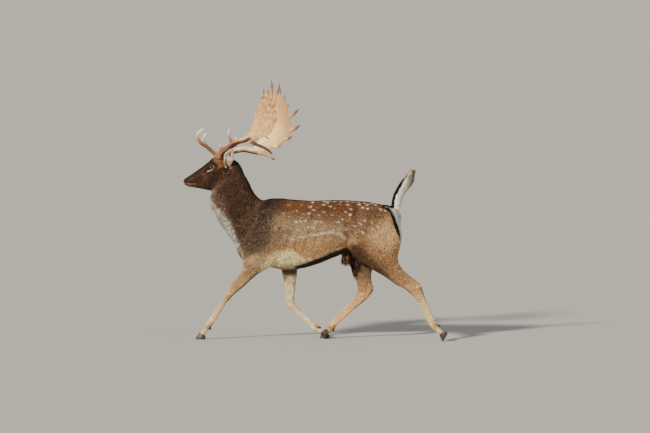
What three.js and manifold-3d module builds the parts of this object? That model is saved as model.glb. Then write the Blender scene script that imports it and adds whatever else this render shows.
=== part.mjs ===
// A fallow buck (Dama dama) in a trot, life size, as a still museum model.
// Millimetres, +Z up. The buck looks along -Y and its left side is +X.
// The origin is on the floor under the middle of its box.
import * as THREE from 'three';
import { mergeVertices } from 'three/addons/utils/BufferGeometryUtils.js';
import Module from 'manifold-3d';

const wasm = await Module();
wasm.setup();

// ---------------------------------------------------------------- driving sizes
const GAP = 0.4;              // space between pieces that meet
const RING = { core: 20, head: 16, leg: 12, antler: 7, palm: 10, point: 4, ear: 8, tail: 10, claw: 8, dewclaw: 5 };
const HEAD_TILT = 5;          // degrees the head leans to the buck's right
const TILT_AXIS = { y: -560, z: 1150, rise: 25 };      // long axis of the head
const TILT_FROM = { y: -350, z: 860 }, TILT_TO = { y: -520, z: 1060 };
const EYE_RADIUS = 15.5;
const HOOF = { length: 64, half: 22.5, cleft: 1.2, wall: 40, heel: 24, crownFront: 25, crownRear: 60 };
const TOE_SINK = 2.6;         // how far a standing toe is cut flat on the floor
const CENTRE = { x: -20.089637756347656, y: 30.501861572265625 };               // middle of the box before it is centred

// ---------------------------------------------------------------- stations
// Body sections: [y, z of the upper or front edge, y, z of the lower or rear edge, x, half width]
// Head, from the nose to the nape.
const HEAD = [
  [-836, 1032, -832, 1012, 0, 15], [-828, 1044, -824, 1000, 0, 22], [-813, 1054, -804, 989, 0, 26],
  [-790, 1068, -781, 984, 0, 28], [-761, 1089, -748, 980, 0, 31], [-728, 1112, -713, 974, 0, 38],
  [-698, 1133, -680, 968, 0, 48], [-669, 1157, -647, 963, 0, 59], [-640, 1183, -614, 955, 0, 64],
  [-603, 1196, -578, 947, 0, 63], [-561, 1194, -535, 957, 0, 60], [-524, 1179, -503, 984, 0, 54],
];
// Neck and trunk, from behind the jaw to the rump.
const CORE = [
  [-537, 1166, -644, 996, 0, 52], [-508, 1174, -650, 963, 0, 60], [-464, 1140, -655, 917, 0, 67],
  [-434, 1085, -658, 872, 0, 74], [-403, 1030, -638, 830, 0, 82], [-369, 961, -602, 758, 0, 93],
  [-321, 913, -547, 683, 0, 100], [-268, 919, -501, 622, 0, 112], [-219, 922, -462, 540, 0, 121],
  [-177, 921, -387, 485, 0, 128], [-131, 916, -282, 465, 0, 133], [-72, 912, -177, 451, 0, 136],
  [-7, 908, -72, 458, 0, 137], [65, 910, 33, 486, 0, 136], [144, 913, 131, 525, 0, 133],
  [222, 912, 216, 559, 0, 128], [301, 908, 301, 586, 0, 124], [373, 902, 379, 604, 0, 120],
  [445, 889, 458, 631, 0, 108], [503, 881, 523, 677, 0, 86], [543, 862, 564, 729, 0, 58],
  [562, 830, 573, 775, 0, 26],
];
// Near foreleg, from the shoulder blade to the fetlock.
const FORE_L = [
  [-377, 825, -220, 846, 78, 38], [-415, 728, -186, 729, 88, 46], [-454, 630, -186, 619, 91, 47],
  [-451, 559, -212, 521, 90, 45], [-441, 500, -261, 469, 92, 42], [-448, 461, -323, 432, 88, 36],
  [-471, 421, -376, 388, 84, 31], [-504, 379, -429, 343, 82, 27], [-532, 336, -478, 304, 80, 24],
  [-551, 300, -509, 276, 79, 23], [-577, 261, -539, 243, 78, 19], [-607, 218, -569, 199, 77, 17],
  [-640, 163, -600, 148, 76, 17], [-667, 125, -623, 110, 75, 19], [-694, 90, -650, 74, 75, 21],
];
// Far foreleg, folded at the knee.
const FORE_R = [
  [-330, 804, -173, 825, -78, 38], [-319, 706, -128, 707, -88, 46], [-293, 608, -76, 596, -90, 46],
  [-246, 517, -76, 499, -87, 43], [-217, 455, -89, 450, -86, 38], [-201, 400, -97, 398, -80, 32],
  [-187, 342, -106, 333, -76, 28], [-179, 270, -115, 268, -72, 24], [-175, 233, -118, 242, -70, 23],
  [-162, 198, -110, 223, -69, 22], [-129, 174, -90, 200, -68, 19], [-86, 144, -56, 172, -66, 17],
  [-45, 106, -15, 134, -64, 17], [-14, 75, 22, 105, -62, 19], [8, 49, 45, 78, -60, 21],
];
// Near hind leg, pushing off.
const HIND_L = [
  [308, 861, 504, 872, 64, 50], [263, 770, 570, 798, 75, 59], [244, 666, 600, 682, 78, 60],
  [261, 572, 584, 591, 79, 57], [336, 511, 586, 517, 82, 53], [414, 456, 610, 472, 80, 46],
  [486, 415, 642, 440, 79, 38], [551, 371, 675, 411, 78, 31], [616, 336, 706, 389, 78, 25],
  [662, 299, 729, 361, 78, 23], [698, 260, 747, 307, 78, 20], [721, 227, 764, 261, 79, 17],
  [744, 179, 788, 209, 80, 17], [766, 131, 814, 149, 81, 18], [789, 92, 842, 104, 82, 21],
];
// Far hind leg, reaching forward.
const HIND_R = [
  [248, 854, 464, 862, -64, 50], [208, 762, 515, 783, -75, 59], [194, 658, 528, 686, -78, 60],
  [210, 579, 502, 594, -79, 55], [239, 501, 442, 515, -85, 49], [262, 436, 397, 450, -87, 40],
  [281, 377, 391, 387, -91, 33], [291, 331, 398, 342, -95, 28], [290, 298, 398, 313, -97, 25],
  [274, 267, 366, 271, -100, 23], [241, 239, 298, 209, -103, 21], [204, 202, 242, 163, -106, 18],
  [161, 158, 193, 119, -109, 17], [124, 122, 162, 87, -111, 19], [95, 94, 138, 57, -112, 21],
];
// Tail, raised, with its hair.
const TAIL = [
  [520, 859, 585, 820, 0, 26], [525, 891, 591, 863, 0, 27], [529, 918, 595, 898, 0, 25],
  [537, 947, 604, 928, 0, 24], [559, 992, 629, 967, 0, 22], [585, 1032, 659, 1009, 0, 19],
  [613, 1067, 675, 1048, 0, 14], [640, 1092, 678, 1086, 0, 7],
];
// Tuft of the sheath under the belly.
const TASSEL = [[196, 590, 256, 590, 0, 20], [200, 560, 250, 562, 0, 18], [205, 530, 244, 530, 0, 15], [209, 500, 240, 500, 0, 11], [214, 472, 234, 472, 0, 5]];
// Outlines in y and z where the shoulders and haunches part from the trunk.
const PATCH = {
  fore_left: [[-300, 868], [-392, 842], [-436, 728], [-476, 631], [-474, 555], [-470, 480], [-340, 420], [-250, 452], [-192, 520], [-163, 619], [-166, 730], [-200, 850]],
  fore_right: [[-250, 846], [-350, 818], [-340, 705], [-316, 608], [-272, 517], [-240, 440], [-150, 420], [-70, 445], [-54, 505], [-55, 600], [-108, 707], [-152, 832]],
  hind_left: [[400, 884], [290, 862], [244, 771], [226, 667], [240, 560], [330, 480], [450, 400], [640, 460], [612, 591], [622, 690], [590, 800], [520, 876]],
  hind_right: [[360, 880], [232, 858], [188, 762], [172, 657], [190, 560], [225, 480], [330, 400], [450, 480], [518, 590], [546, 690], [534, 790], [474, 870]],
};
const FEET = {near_fore: [75, -748], near_hind: [82, 871], far_fore: [-58, 88], far_hind: [-113, 43]};
const EYE = { x: 52, y: -648, z: 1109 };
// Ears: [x, y, z of the front edge, x, y, z of the rear edge, half thickness].
const EARS = {
  left: [[44, -552, 1105, 42, -523, 1112, 12], [60, -556, 1131, 54, -516, 1131, 11], [76, -556, 1156, 68, -504, 1154, 9], [89, -552, 1182, 82, -494, 1179, 7.5], [100, -544, 1202, 95, -490, 1201, 6.5], [108, -527, 1219, 105, -494, 1215, 5], [114, -511, 1229, 113, -502, 1227, 3]],
  right: [[-44, -567, 1098, -42, -537, 1105, 12], [-66, -579, 1115, -58, -536, 1118, 11], [-88, -588, 1136, -80, -534, 1136, 9], [-108, -592, 1155, -100, -534, 1156, 7.5], [-126, -588, 1171, -120, -536, 1174, 6.5], [-140, -577, 1183, -137, -544, 1186, 5], [-150, -566, 1191, -149, -558, 1192, 3]],
};
// Antlers: bars as [x, y, z, radius]; palms as plates from front edge to rear edge.
const ANTLERS = {
  left: {
    beam: [[36, -606, 1154, 19], [38, -604, 1177, 20], [44, -591, 1205, 20], [60, -564, 1224, 18.5], [84, -529, 1239, 18], [110, -492, 1267, 18], [137, -450, 1283, 17], [162, -407, 1294, 18], [182, -368, 1311, 19]],
    brow: [[44, -609, 1193, 13], [52, -639, 1218, 12], [66, -673, 1246, 10.5], [84, -712, 1274, 9.5], [97, -732, 1312, 8.5], [103, -720, 1340, 7], [104, -701, 1357, 5.5], [102, -685, 1371, 2]],
    trez: [[112, -501, 1266, 12], [118, -509, 1288, 9.5], [126, -515, 1312, 7.5], [134, -520, 1343, 5.5], [140, -514, 1368, 1.8]],
    back: [[176, -372, 1284, 12], [182, -331, 1261, 9], [186, -291, 1246, 7.5], [187, -254, 1227, 5.5], [186, -223, 1198, 1.8]],
    knob: [[54, -575, 1219, 9], [56, -586, 1244, 6], [58, -593, 1268, 1.8]],
    palm: [[166, -398, 1314, 172, -375, 1271, 15], [182, -376, 1340, 190, -333, 1290, 13], [196, -359, 1376, 212, -278, 1305, 11], [207, -346, 1415, 230, -226, 1334, 9.5], [217, -335, 1457, 242, -198, 1382, 8.5], [226, -322, 1497, 251, -186, 1435, 8], [234, -304, 1533, 256, -187, 1482, 7.5], [241, -292, 1563, 259, -194, 1521, 7], [247, -278, 1589, 259, -220, 1561, 6]],
    points: [
      [[246, -283, 1570, 8], [250, -278, 1595, 6], [253, -268, 1619, 1.8]],
      [[252, -251, 1569, 8], [255, -246, 1592, 5.5], [257, -240, 1613, 1.8]],
      [[256, -227, 1540, 9], [260, -220, 1585, 7.5], [262, -218, 1631, 6], [262, -222, 1675, 1.8]],
      [[258, -210, 1514, 9], [262, -196, 1553, 7], [264, -184, 1584, 6], [264, -171, 1621, 5], [262, -169, 1655, 1.8]],
      [[256, -204, 1479, 8], [258, -184, 1486, 5.5], [259, -169, 1491, 1.8]],
      [[247, -208, 1414, 8], [249, -191, 1416, 5.5], [250, -178, 1423, 1.8]],
      [[214, -281, 1328, 9], [214, -258, 1307, 6], [213, -237, 1295, 1.8]],
    ],
  },
  right: {
    beam: [[-36, -609, 1147, 19], [-38, -605, 1168, 20], [-46, -591, 1192, 20], [-62, -564, 1209, 19], [-86, -532, 1223, 18], [-112, -497, 1235, 18], [-138, -457, 1241, 18], [-160, -412, 1233, 19], [-176, -375, 1229, 20]],
    brow: [[-44, -614, 1181, 13], [-52, -642, 1209, 12], [-66, -674, 1239, 10.5], [-84, -707, 1265, 9.5], [-98, -725, 1295, 8.5], [-104, -721, 1321, 7], [-106, -712, 1334, 5], [-106, -703, 1345, 2]],
    trez: [[-108, -506, 1238, 12], [-118, -515, 1259, 9.5], [-128, -518, 1281, 7.5], [-138, -518, 1305, 5.2], [-146, -513, 1327, 1.8]],
    back: [[-172, -387, 1221, 13], [-180, -349, 1215, 11], [-184, -316, 1206, 8.5], [-186, -290, 1190, 5], [-187, -266, 1173, 1.8]],
    knob: [[-56, -573, 1203, 9], [-58, -583, 1225, 6], [-60, -589, 1243, 1.8]],
    palm: [[-160, -399, 1259, -170, -367, 1198, 16], [-178, -379, 1293, -190, -318, 1235, 13], [-196, -357, 1340, -216, -249, 1266, 11], [-209, -338, 1389, -236, -187, 1317, 9.5], [-220, -329, 1442, -250, -170, 1382, 8.5], [-230, -323, 1492, -258, -177, 1444, 8], [-238, -311, 1538, -262, -190, 1498, 7.5], [-245, -297, 1577, -264, -203, 1543, 7], [-252, -279, 1604, -264, -221, 1582, 6]],
    points: [
      [[-256, -252, 1578, 8], [-260, -246, 1614, 6], [-262, -242, 1647, 1.8]],
      [[-261, -227, 1559, 8], [-264, -219, 1579, 5], [-265, -214, 1598, 1.8]],
      [[-262, -206, 1513, 8], [-265, -196, 1528, 5], [-266, -190, 1544, 1.8]],
      [[-257, -202, 1457, 10], [-262, -170, 1469, 8], [-266, -145, 1487, 5.5], [-268, -121, 1512, 1.8]],
      [[-246, -196, 1362, 11], [-250, -163, 1374, 8.5], [-253, -134, 1388, 6], [-254, -109, 1409, 1.8]],
      [[-232, -213, 1313, 9], [-235, -184, 1317, 6.5], [-236, -159, 1330, 1.8]],
      [[-208, -275, 1266, 9], [-208, -248, 1260, 6], [-208, -223, 1271, 1.8]],
    ],
  },
};

// ---------------------------------------------------------------- helpers
const V = (x, y, z) => new THREE.Vector3(x, y, z);
const ease = (t) => { const c = Math.min(1, Math.max(0, t)); return c * c * (3 - 2 * c); };
const bump = (t, at, wide) => Math.exp(-(((t - at) / wide) ** 2));

// The head leans about its long axis, and the lean fades out down the neck.
const tiltAxis = V(0, Math.cos(THREE.MathUtils.degToRad(TILT_AXIS.rise)), Math.sin(THREE.MathUtils.degToRad(TILT_AXIS.rise)));
function lean(p, whole = false) {
  const dy = TILT_TO.y - TILT_FROM.y, dz = TILT_TO.z - TILT_FROM.z;
  const t = ((p.y - TILT_FROM.y) * dy + (p.z - TILT_FROM.z) * dz) / (dy * dy + dz * dz);
  const angle = -THREE.MathUtils.degToRad(HEAD_TILT) * (whole ? 1 : ease(t));
  const hub = V(0, TILT_AXIS.y, TILT_AXIS.z);
  return p.clone().sub(hub).applyAxisAngle(tiltAxis, angle).add(hub);
}

// Rows of numbers between the stations, on a smooth curve through them.
function refine(rows, steps) {
  const out = [];
  for (let i = 0; i < rows.length - 1; i++) {
    const a = rows[Math.max(0, i - 1)], b = rows[i], c = rows[i + 1], d = rows[Math.min(rows.length - 1, i + 2)];
    for (let s = 0; s < steps; s++) {
      const t = s / steps;
      out.push(b.map((_, k) => 0.5 * (2 * b[k] + (c[k] - a[k]) * t + (2 * a[k] - 5 * b[k] + 4 * c[k] - d[k]) * t * t + (3 * b[k] - a[k] - 3 * c[k] + d[k]) * t ** 3)));
    }
  }
  out.push(rows[rows.length - 1].slice());
  return out;
}

// A closed solid from rings of points, with a point or a flat fan over each end.
function loft(rings, firstPole, lastPole) {
  const n = rings[0].length, pos = [], tri = [];
  for (const ring of rings) for (const p of ring) pos.push(p.x, p.y, p.z);
  const middle = (ring) => ring.reduce((s, p) => s.add(p), V(0, 0, 0)).divideScalar(n);
  const a = firstPole ?? middle(rings[0]), b = lastPole ?? middle(rings[rings.length - 1]);
  pos.push(a.x, a.y, a.z, b.x, b.y, b.z);
  const pa = rings.length * n, pb = pa + 1;
  for (let k = 0; k < n; k++) {
    const j = (k + 1) % n;
    tri.push(pa, j, k, pb, (rings.length - 1) * n + k, (rings.length - 1) * n + j);
    for (let r = 0; r < rings.length - 1; r++) {
      const p = r * n + k, q = r * n + j, s = (r + 1) * n + k, t = (r + 1) * n + j;
      tri.push(p, q, t, p, t, s);
    }
  }
  return solid(pos, tri);
}

function solid(pos, tri) {
  let volume = 0;
  for (let i = 0; i < tri.length; i += 3) {
    const [a, b, c] = [tri[i], tri[i + 1], tri[i + 2]].map((k) => V(pos[3 * k], pos[3 * k + 1], pos[3 * k + 2]));
    volume += a.dot(b.cross(c));
  }
  if (volume < 0) for (let i = 0; i < tri.length; i += 3) [tri[i + 1], tri[i + 2]] = [tri[i + 2], tri[i + 1]];
  return new wasm.Manifold(new wasm.Mesh({ numProp: 3, vertProperties: new Float32Array(pos), triVerts: new Uint32Array(tri) }));
}

function fromGeometry(geometry, matrix) {
  let g = geometry.clone();
  if (matrix) g.applyMatrix4(matrix);
  g.deleteAttribute('normal');
  g.deleteAttribute('uv');
  g = mergeVertices(g, 1e-3);
  return solid(Array.from(g.attributes.position.array), Array.from(g.index.array));
}

const power = (v, e) => Math.sign(v) * Math.abs(v) ** (2 / e);

// One section through a body station. crown narrows it towards its upper edge.
function section(row, n, { grow = 0, e = 2.15, crown = 0, tip = false, whole = false } = {}) {
  const [ya, za, yb, zb, x, w] = row;
  const mid = V(x, (ya + yb) / 2, (za + zb) / 2), half = Math.hypot(ya - yb, za - zb) / 2;
  const up = V(0, ya - yb, za - zb).normalize(), ring = [];
  for (let k = 0; k < n; k++) {
    const a = (2 * Math.PI * k) / n, u = power(Math.cos(a), e), s = power(Math.sin(a), e);
    const p = mid.clone().addScaledVector(up, (half + grow) * u);
    p.x += (w + grow) * s * (1 - crown * u);
    ring.push(tip ? lean(p, whole) : p);
  }
  return ring;
}

function body(rows, n, steps, shape = () => ({}), grow = 0, nose = 0, tail = 0) {
  const fine = refine(rows, steps);
  const rings = fine.map((row, i) => section(row, n, { ...shape(i / (fine.length - 1)), grow }));
  const pole = (ring, next, by) => {
    const m = ring.reduce((s, p) => s.add(p), V(0, 0, 0)).divideScalar(n);
    const o = next.reduce((s, p) => s.add(p), V(0, 0, 0)).divideScalar(n);
    return m.clone().addScaledVector(m.clone().sub(o).normalize(), by + grow);
  };
  return loft(rings, pole(rings[0], rings[1], nose), pole(rings[rings.length - 1], rings[rings.length - 2], tail));
}

// A round tapering bar along points [x, y, z, radius], carried by frames that don't twist.
function bar(rows, n, steps, grow = 0, rough = 0) {
  const fine = refine(rows, steps).map(([x, y, z, r]) => ({ p: lean(V(x, y, z), true), r: Math.max(0.9, r) + grow }));
  let side = null;
  const rings = fine.map(({ p, r }, i) => {
    const t = fine[Math.min(fine.length - 1, i + 1)].p.clone().sub(fine[Math.max(0, i - 1)].p).normalize();
    side = (side ?? (Math.abs(t.x) < 0.8 ? V(1, 0, 0) : V(0, 1, 0))).clone().addScaledVector(t, -(side ?? V(1, 0, 0)).dot(t)).normalize();
    const other = t.clone().cross(side), ring = [];
    for (let k = 0; k < n; k++) {
      const a = (2 * Math.PI * k) / n, q = r * (1 + rough * Math.sin(3 * a + i));
      ring.push(p.clone().addScaledVector(side, q * Math.cos(a)).addScaledVector(other, q * Math.sin(a)));
    }
    return ring;
  });
  return loft(rings);
}

// A thin plate from [x, y, z of one edge, x, y, z of the other, half thickness]; cup bends its middle.
function plate(rows, n, steps, { grow = 0, cup = 0, e = 2.6 } = {}) {
  const fine = refine(rows, steps).map((r) => ({ a: lean(V(r[0], r[1], r[2]), true), b: lean(V(r[3], r[4], r[5]), true), t: Math.max(1.4, r[6]) }));
  const mids = fine.map(({ a, b }) => a.clone().add(b).multiplyScalar(0.5));
  const rings = fine.map(({ a, b, t }, i) => {
    const along = mids[Math.min(mids.length - 1, i + 1)].clone().sub(mids[Math.max(0, i - 1)]);
    const across = a.clone().sub(b), half = across.length() / 2;
    across.normalize();
    const out = along.cross(across).normalize();
    if (out.x * mids[i].x < 0) out.negate();
    const ring = [];
    for (let k = 0; k < n; k++) {
      const c = (2 * Math.PI * k) / n, u = power(Math.cos(c), e), s = power(Math.sin(c), 2.2);
      const bend = cup * half * (1 - u * u);
      ring.push(mids[i].clone().addScaledVector(across, (half + grow) * u).addScaledVector(out, (t + grow) * s + bend));
    }
    return ring;
  });
  return loft(rings);
}

// Half of space, as a block whose one face lies on the plane.
function beyond(point, normal, shift = 0, size = 2600) {
  const n = normal.clone().normalize();
  const m = new THREE.Matrix4().compose(point.clone().addScaledVector(n, shift + size / 2), new THREE.Quaternion().setFromUnitVectors(V(0, 0, 1), n), V(1, 1, 1));
  return fromGeometry(new THREE.BoxGeometry(size, size, size), m);
}
const split = (m, point, normal) => [
  m.intersect(beyond(point, normal, GAP / 2)),
  m.intersect(beyond(point, normal.clone().negate(), GAP / 2)),
];

// A block between two values of x over a smooth outline in y and z.
function block(outline, x0, x1, grow = 0) {
  const curve = new THREE.CatmullRomCurve3(outline.map(([y, z]) => V(y, z, 0)), true, 'centripetal');
  const pts = curve.getSpacedPoints(13).slice(0, 13);
  let area = 0;
  pts.forEach((p, i) => { const q = pts[(i + 1) % pts.length]; area += p.x * q.y - q.x * p.y; });
  if (area < 0) pts.reverse();
  const moved = pts.map((p, i) => {
    const t = pts[(i + 1) % pts.length].clone().sub(pts[(i + pts.length - 1) % pts.length]).normalize();
    return new THREE.Vector2(p.x + t.y * grow, p.y - t.x * grow);
  });
  const lo = Math.min(x0, x1), hi = Math.max(x0, x1);
  const g = new THREE.ExtrudeGeometry(new THREE.Shape(moved), { depth: hi - lo + 2 * grow, bevelEnabled: false, steps: 1 });
  const m = new THREE.Matrix4().set(0, 0, 1, lo - grow, 1, 0, 0, 0, 0, 1, 0, 0, 0, 0, 0, 1);
  return fromGeometry(g, m);
}

// ---------------------------------------------------------------- head, neck and trunk
const headShape = (t) => ({ tip: true, whole: true, e: 2.25 + 0.3 * bump(t, 0.15, 0.12), crown: -0.16 * bump(t, 0.68, 0.22) + 0.08 * bump(t, 0.2, 0.15) });
const coreShape = (t) => ({ tip: true, e: 2.12 + 0.25 * bump(t, 0.72, 0.22), crown: 0.16 * bump(t, 0.42, 0.16) - 0.06 * bump(t, 0.85, 0.12) + 0.05 * bump(t, 0.1, 0.12) });
const head = (grow = 0) => body(HEAD, RING.head, 1, headShape, grow, 6, 10);
const core = (grow = 0) => body(CORE, RING.core, 1, coreShape, grow, 4, 7);

// ---------------------------------------------------------------- feet
function footMap({ x, toe, pitch, sink }) {
  const c = Math.cos(THREE.MathUtils.degToRad(pitch)), s = Math.sin(THREE.MathUtils.degToRad(pitch));
  return (dx, y, z) => V(x + dx, toe + y * c - z * s, y * s + z * c - sink);
}
function claw(foot, side) {
  const at = footMap(foot), rings = [];
  // [toe y, toe z, heel y, heel z, outer half width]
  const levels = [[2.5, 0, HOOF.length - 4, 0, HOOF.half - 2], [0, 3, HOOF.length - 1, 3, HOOF.half - 0.5], [9, 19, HOOF.length, 14, HOOF.half], [HOOF.crownFront, HOOF.wall, HOOF.crownRear, HOOF.heel, HOOF.half - 1.5]];
  for (const [ya, za, yb, zb, w] of levels) {
    const ring = [];
    for (let k = 0; k < RING.claw; k++) {
      const a = (2 * Math.PI * k) / RING.claw, u = power(Math.cos(a), 2.3), s = power(Math.sin(a), 2.6);
      const wide = (w - HOOF.cleft) / 2, taper = 1 - 0.34 * ((1 + u) / 2) ** 2;
      const dx = side * (HOOF.cleft + wide * taper * (1 + s));
      ring.push(at(dx, (ya + yb) / 2 + ((ya - yb) / 2) * u, (za + zb) / 2 + ((za - zb) / 2) * u));
    }
    rings.push(ring);
  }
  return loft(rings).intersect(beyond(V(0, 0, 0), V(0, 0, 1)));
}
// The pastern runs from the fetlock to just above the claws.
function withPastern(rows, foot) {
  const at = footMap(foot), lift = GAP + 0.1, n = V(0, HOOF.wall - HOOF.heel, HOOF.crownRear - HOOF.crownFront).normalize();
  const f = at(0, HOOF.crownFront + n.y * lift, HOOF.wall + n.z * lift), r = at(0, HOOF.crownRear + n.y * lift, HOOF.heel + n.z * lift);
  const last = rows[rows.length - 1], end = [f.y, f.z, r.y, r.z, foot.x, HOOF.half - 2];
  const waist = last.map((v, i) => (v + end[i]) / 2);
  const cy = (waist[0] + waist[2]) / 2, cz = (waist[1] + waist[3]) / 2;
  const slim = [cy + (waist[0] - cy) * 0.86, cz + (waist[1] - cz) * 0.86, cy + (waist[2] - cy) * 0.86, cz + (waist[3] - cz) * 0.86, waist[4], 18.5];
  return [...rows, slim, end];
}
function dewclaw(rows, foot, side, grow = 0) {
  const [, , yr, zr, x] = rows[rows.length - 1], [ya, za, yb, zb] = rows[rows.length - 2];
  const back = V(0, yr - rows[rows.length - 1][0], zr - rows[rows.length - 1][1]).normalize();
  const down = V(0, (rows[rows.length - 1][0] + yr) / 2 - (ya + yb) / 2, (rows[rows.length - 1][1] + zr) / 2 - (za + zb) / 2).normalize();
  const start = V(x + side * 10, yr, zr).addScaledVector(back, -6).addScaledVector(down, -3);
  const rings = [[0, 6.5], [10, 6.8], [21, 2.4]].map(([d, r]) => {
    const c = start.clone().addScaledVector(back, d * 0.62).addScaledVector(down, d * 0.78), ring = [];
    for (let k = 0; k < RING.dewclaw; k++) {
      const a = (2 * Math.PI * k) / RING.dewclaw;
      ring.push(c.clone().add(V(side * (d * 0.12) + (r + grow) * Math.cos(a), 0, 0)).addScaledVector(back, (r + grow) * 0.78 * Math.sin(a)).addScaledVector(down, -(r + grow) * 0.62 * Math.sin(a)));
    }
    return ring;
  });
  return loft(rings);
}

// ---------------------------------------------------------------- assembly
const pieces = {};
const antlerColour = 0xb98a5c, hide = 0x8a6242, dark = 0x3a2a22, tan = 0xd0a878, horn = 0x2b2522;
const put = (name, m, colour, roughness = 0.85) => { pieces[name] = { m, colour, roughness }; };

// Legs with their shoulder or haunch, parted at the knee or hock and at the fetlock.
const legs = {
  fore_left: { rows: FORE_L, foot: { x: FEET.near_fore[0], toe: FEET.near_fore[1], pitch: 0, sink: 0 }, patch: PATCH.fore_left, side: 1, inner: 42, joint: 9, knee: 'fore' },
  fore_right: { rows: FORE_R, foot: { x: FEET.far_fore[0], toe: FEET.far_fore[1], pitch: 76, sink: TOE_SINK }, patch: PATCH.fore_right, side: -1, inner: 42, joint: 9, knee: 'fore' },
  hind_left: { rows: HIND_L, foot: { x: FEET.near_hind[0], toe: FEET.near_hind[1], pitch: 60, sink: TOE_SINK }, patch: PATCH.hind_left, side: 1, inner: 12, joint: 9, knee: 'hind' },
  hind_right: { rows: HIND_R, foot: { x: FEET.far_hind[0], toe: FEET.far_hind[1], pitch: 0, sink: 0 }, patch: PATCH.hind_right, side: -1, inner: 12, joint: 8, knee: 'hind' },
};
const legShape = () => ({ e: 2.1 });
const flesh = core();
let trunk = flesh.add(body(TASSEL, 10, 1, () => ({ e: 2 }), 0, 2, 3));
for (const [name, leg] of Object.entries(legs)) {
  const rows = withPastern(leg.rows, leg.foot);
  const limb = body(rows, RING.leg, 1, legShape, 0, 6, 0), wide = body(rows, RING.leg, 1, legShape, GAP, 6, 0);
  const x0 = leg.side * leg.inner, x1 = leg.side * 260;
  const whole = limb.add(flesh.intersect(block(leg.patch, x0, x1)));
  trunk = trunk.subtract(block(leg.patch, x0, x1, GAP)).subtract(wide);
  const centre = (i) => V(rows[i][4], (rows[i][0] + rows[i][2]) / 2, (rows[i][1] + rows[i][3]) / 2);
  const j = leg.joint, f = leg.rows.length - 1;
  const [upper, rest] = split(whole, centre(j), centre(j - 1).sub(centre(j + 1)));
  const [cannon, foot] = split(rest, centre(f - 1).lerp(centre(f), 0.35), centre(f - 1).sub(centre(f)));
  put(`leg_${name}`, upper, hide);
  put(`cannon_${name}`, cannon, tan);
  for (const side of [-1, 1]) {
    const where = side * leg.side > 0 ? 'outer' : 'inner';
    put(`hoof_${name}_${where}`, claw(leg.foot, side), horn, 0.5);
    put(`dewclaw_${name}_${where}`, dewclaw(leg.rows, leg.foot, side).subtract(wide), horn, 0.5);
  }
  put(`foot_${name}`, foot, tan);
}

// Head and neck, parted behind the jaw; neck and trunk, parted before the shoulder.
const skull = head(), skullWide = head(GAP);
const eyeAt = (side) => lean(V(side * EYE.x, EYE.y, EYE.z), true);
const ball = (side, r) => fromGeometry(new THREE.SphereGeometry(r, 10, 7), new THREE.Matrix4().makeTranslation(...eyeAt(side).toArray()));
const front = skull.add(trunk);
const rowPoint = (r) => V(0, (r[0] + r[2]) / 2, (r[1] + r[3]) / 2);
const neckCut = rowPoint(CORE[1]), neckNormal = V(0, CORE[1][3] - CORE[1][1], CORE[1][0] - CORE[1][2]).normalize();
if (neckNormal.y > 0) neckNormal.negate();
const chestCut = rowPoint(CORE[6]), chestNormal = V(0, CORE[6][3] - CORE[6][1], CORE[6][0] - CORE[6][2]).normalize();
if (chestNormal.y > 0) chestNormal.negate();
const [headPiece, behind] = split(front, neckCut, neckNormal);
const [neckPiece, trunkPiece] = split(behind, chestCut, chestNormal);
let face = headPiece;
for (const side of [-1, 1]) face = face.subtract(ball(side, EYE_RADIUS + GAP));
put('head', face, dark);
put('neck', neckPiece, dark);
put('trunk', trunkPiece, hide);
put('eye_left', ball(1, EYE_RADIUS), 0x15100d, 0.15);
put('eye_right', ball(-1, EYE_RADIUS), 0x15100d, 0.15);
put('tail', body(TAIL, RING.tail, 1, () => ({ e: 2.1 }), 0, 2, 4).subtract(core(GAP)), 0xe8e0d2);

const earSolid = (rows) => plate(rows, RING.ear, 1, { cup: 0.28, e: 2.1 });
const neckWide = core(GAP);
put('ear_left', earSolid(EARS.left).subtract(skullWide).subtract(neckWide), 0x9a8878);
put('ear_right', earSolid(EARS.right).subtract(skullWide).subtract(neckWide), 0x9a8878);

// Antlers, parted at their forks; each palm keeps its points.
for (const [side, a] of Object.entries(ANTLERS)) {
  const beam = bar([...a.beam], RING.antler, 1), beamWide = bar([...a.beam], RING.antler, 1, GAP);
  const b = a.beam[2], c = a.beam[1];
  const burr = bar([[c[0], c[1], c[2], 20], [(b[0] + c[0]) / 2, (b[1] * 0.3 + c[1] * 0.7), (b[2] * 0.3 + c[2] * 0.7), 27], [(b[0] + c[0]) / 2, (b[1] * 0.6 + c[1] * 0.4), (b[2] * 0.6 + c[2] * 0.4), 27], [b[0], b[1], b[2], 19]], RING.antler + 2, 1);
  const palmSolid = (grow) => plate(a.palm, RING.palm, 1, { grow, cup: -0.1 });
  let palm = palmSolid(0);
  for (const p of a.points) palm = palm.add(bar(p, RING.point, 1));
  const knob = a.knob ? bar(a.knob, RING.point, 1) : burr;
  const stem = beam.add(burr).add(knob).subtract(skullWide).subtract(neckWide);
  put(`antler_${side}_palm`, palm.subtract(beamWide), antlerColour, 0.6);
  put(`antler_${side}_beam`, stem, antlerColour, 0.6);
  const burrWide = bar([[c[0], c[1], c[2], 20 + GAP], [(b[0] + c[0]) / 2, (b[1] * 0.3 + c[1] * 0.7), (b[2] * 0.3 + c[2] * 0.7), 27 + GAP], [(b[0] + c[0]) / 2, (b[1] * 0.6 + c[1] * 0.4), (b[2] * 0.6 + c[2] * 0.4), 27 + GAP], [b[0], b[1], b[2], 19 + GAP]], RING.antler + 2, 1);
  for (const [tine, rows] of [['brow', a.brow], ['trez', a.trez], ['back', a.back]]) {
    let t = bar(rows, RING.antler - 1, 1).subtract(beamWide).subtract(burrWide).subtract(skullWide);
    if (tine === 'back') { t = t.subtract(palmSolid(GAP)); for (const p of a.points) t = t.subtract(bar(p, RING.point, 1, GAP)); }
    put(`antler_${side}_${tine}_tine`, t, antlerColour, 0.6);
  }
}

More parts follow.
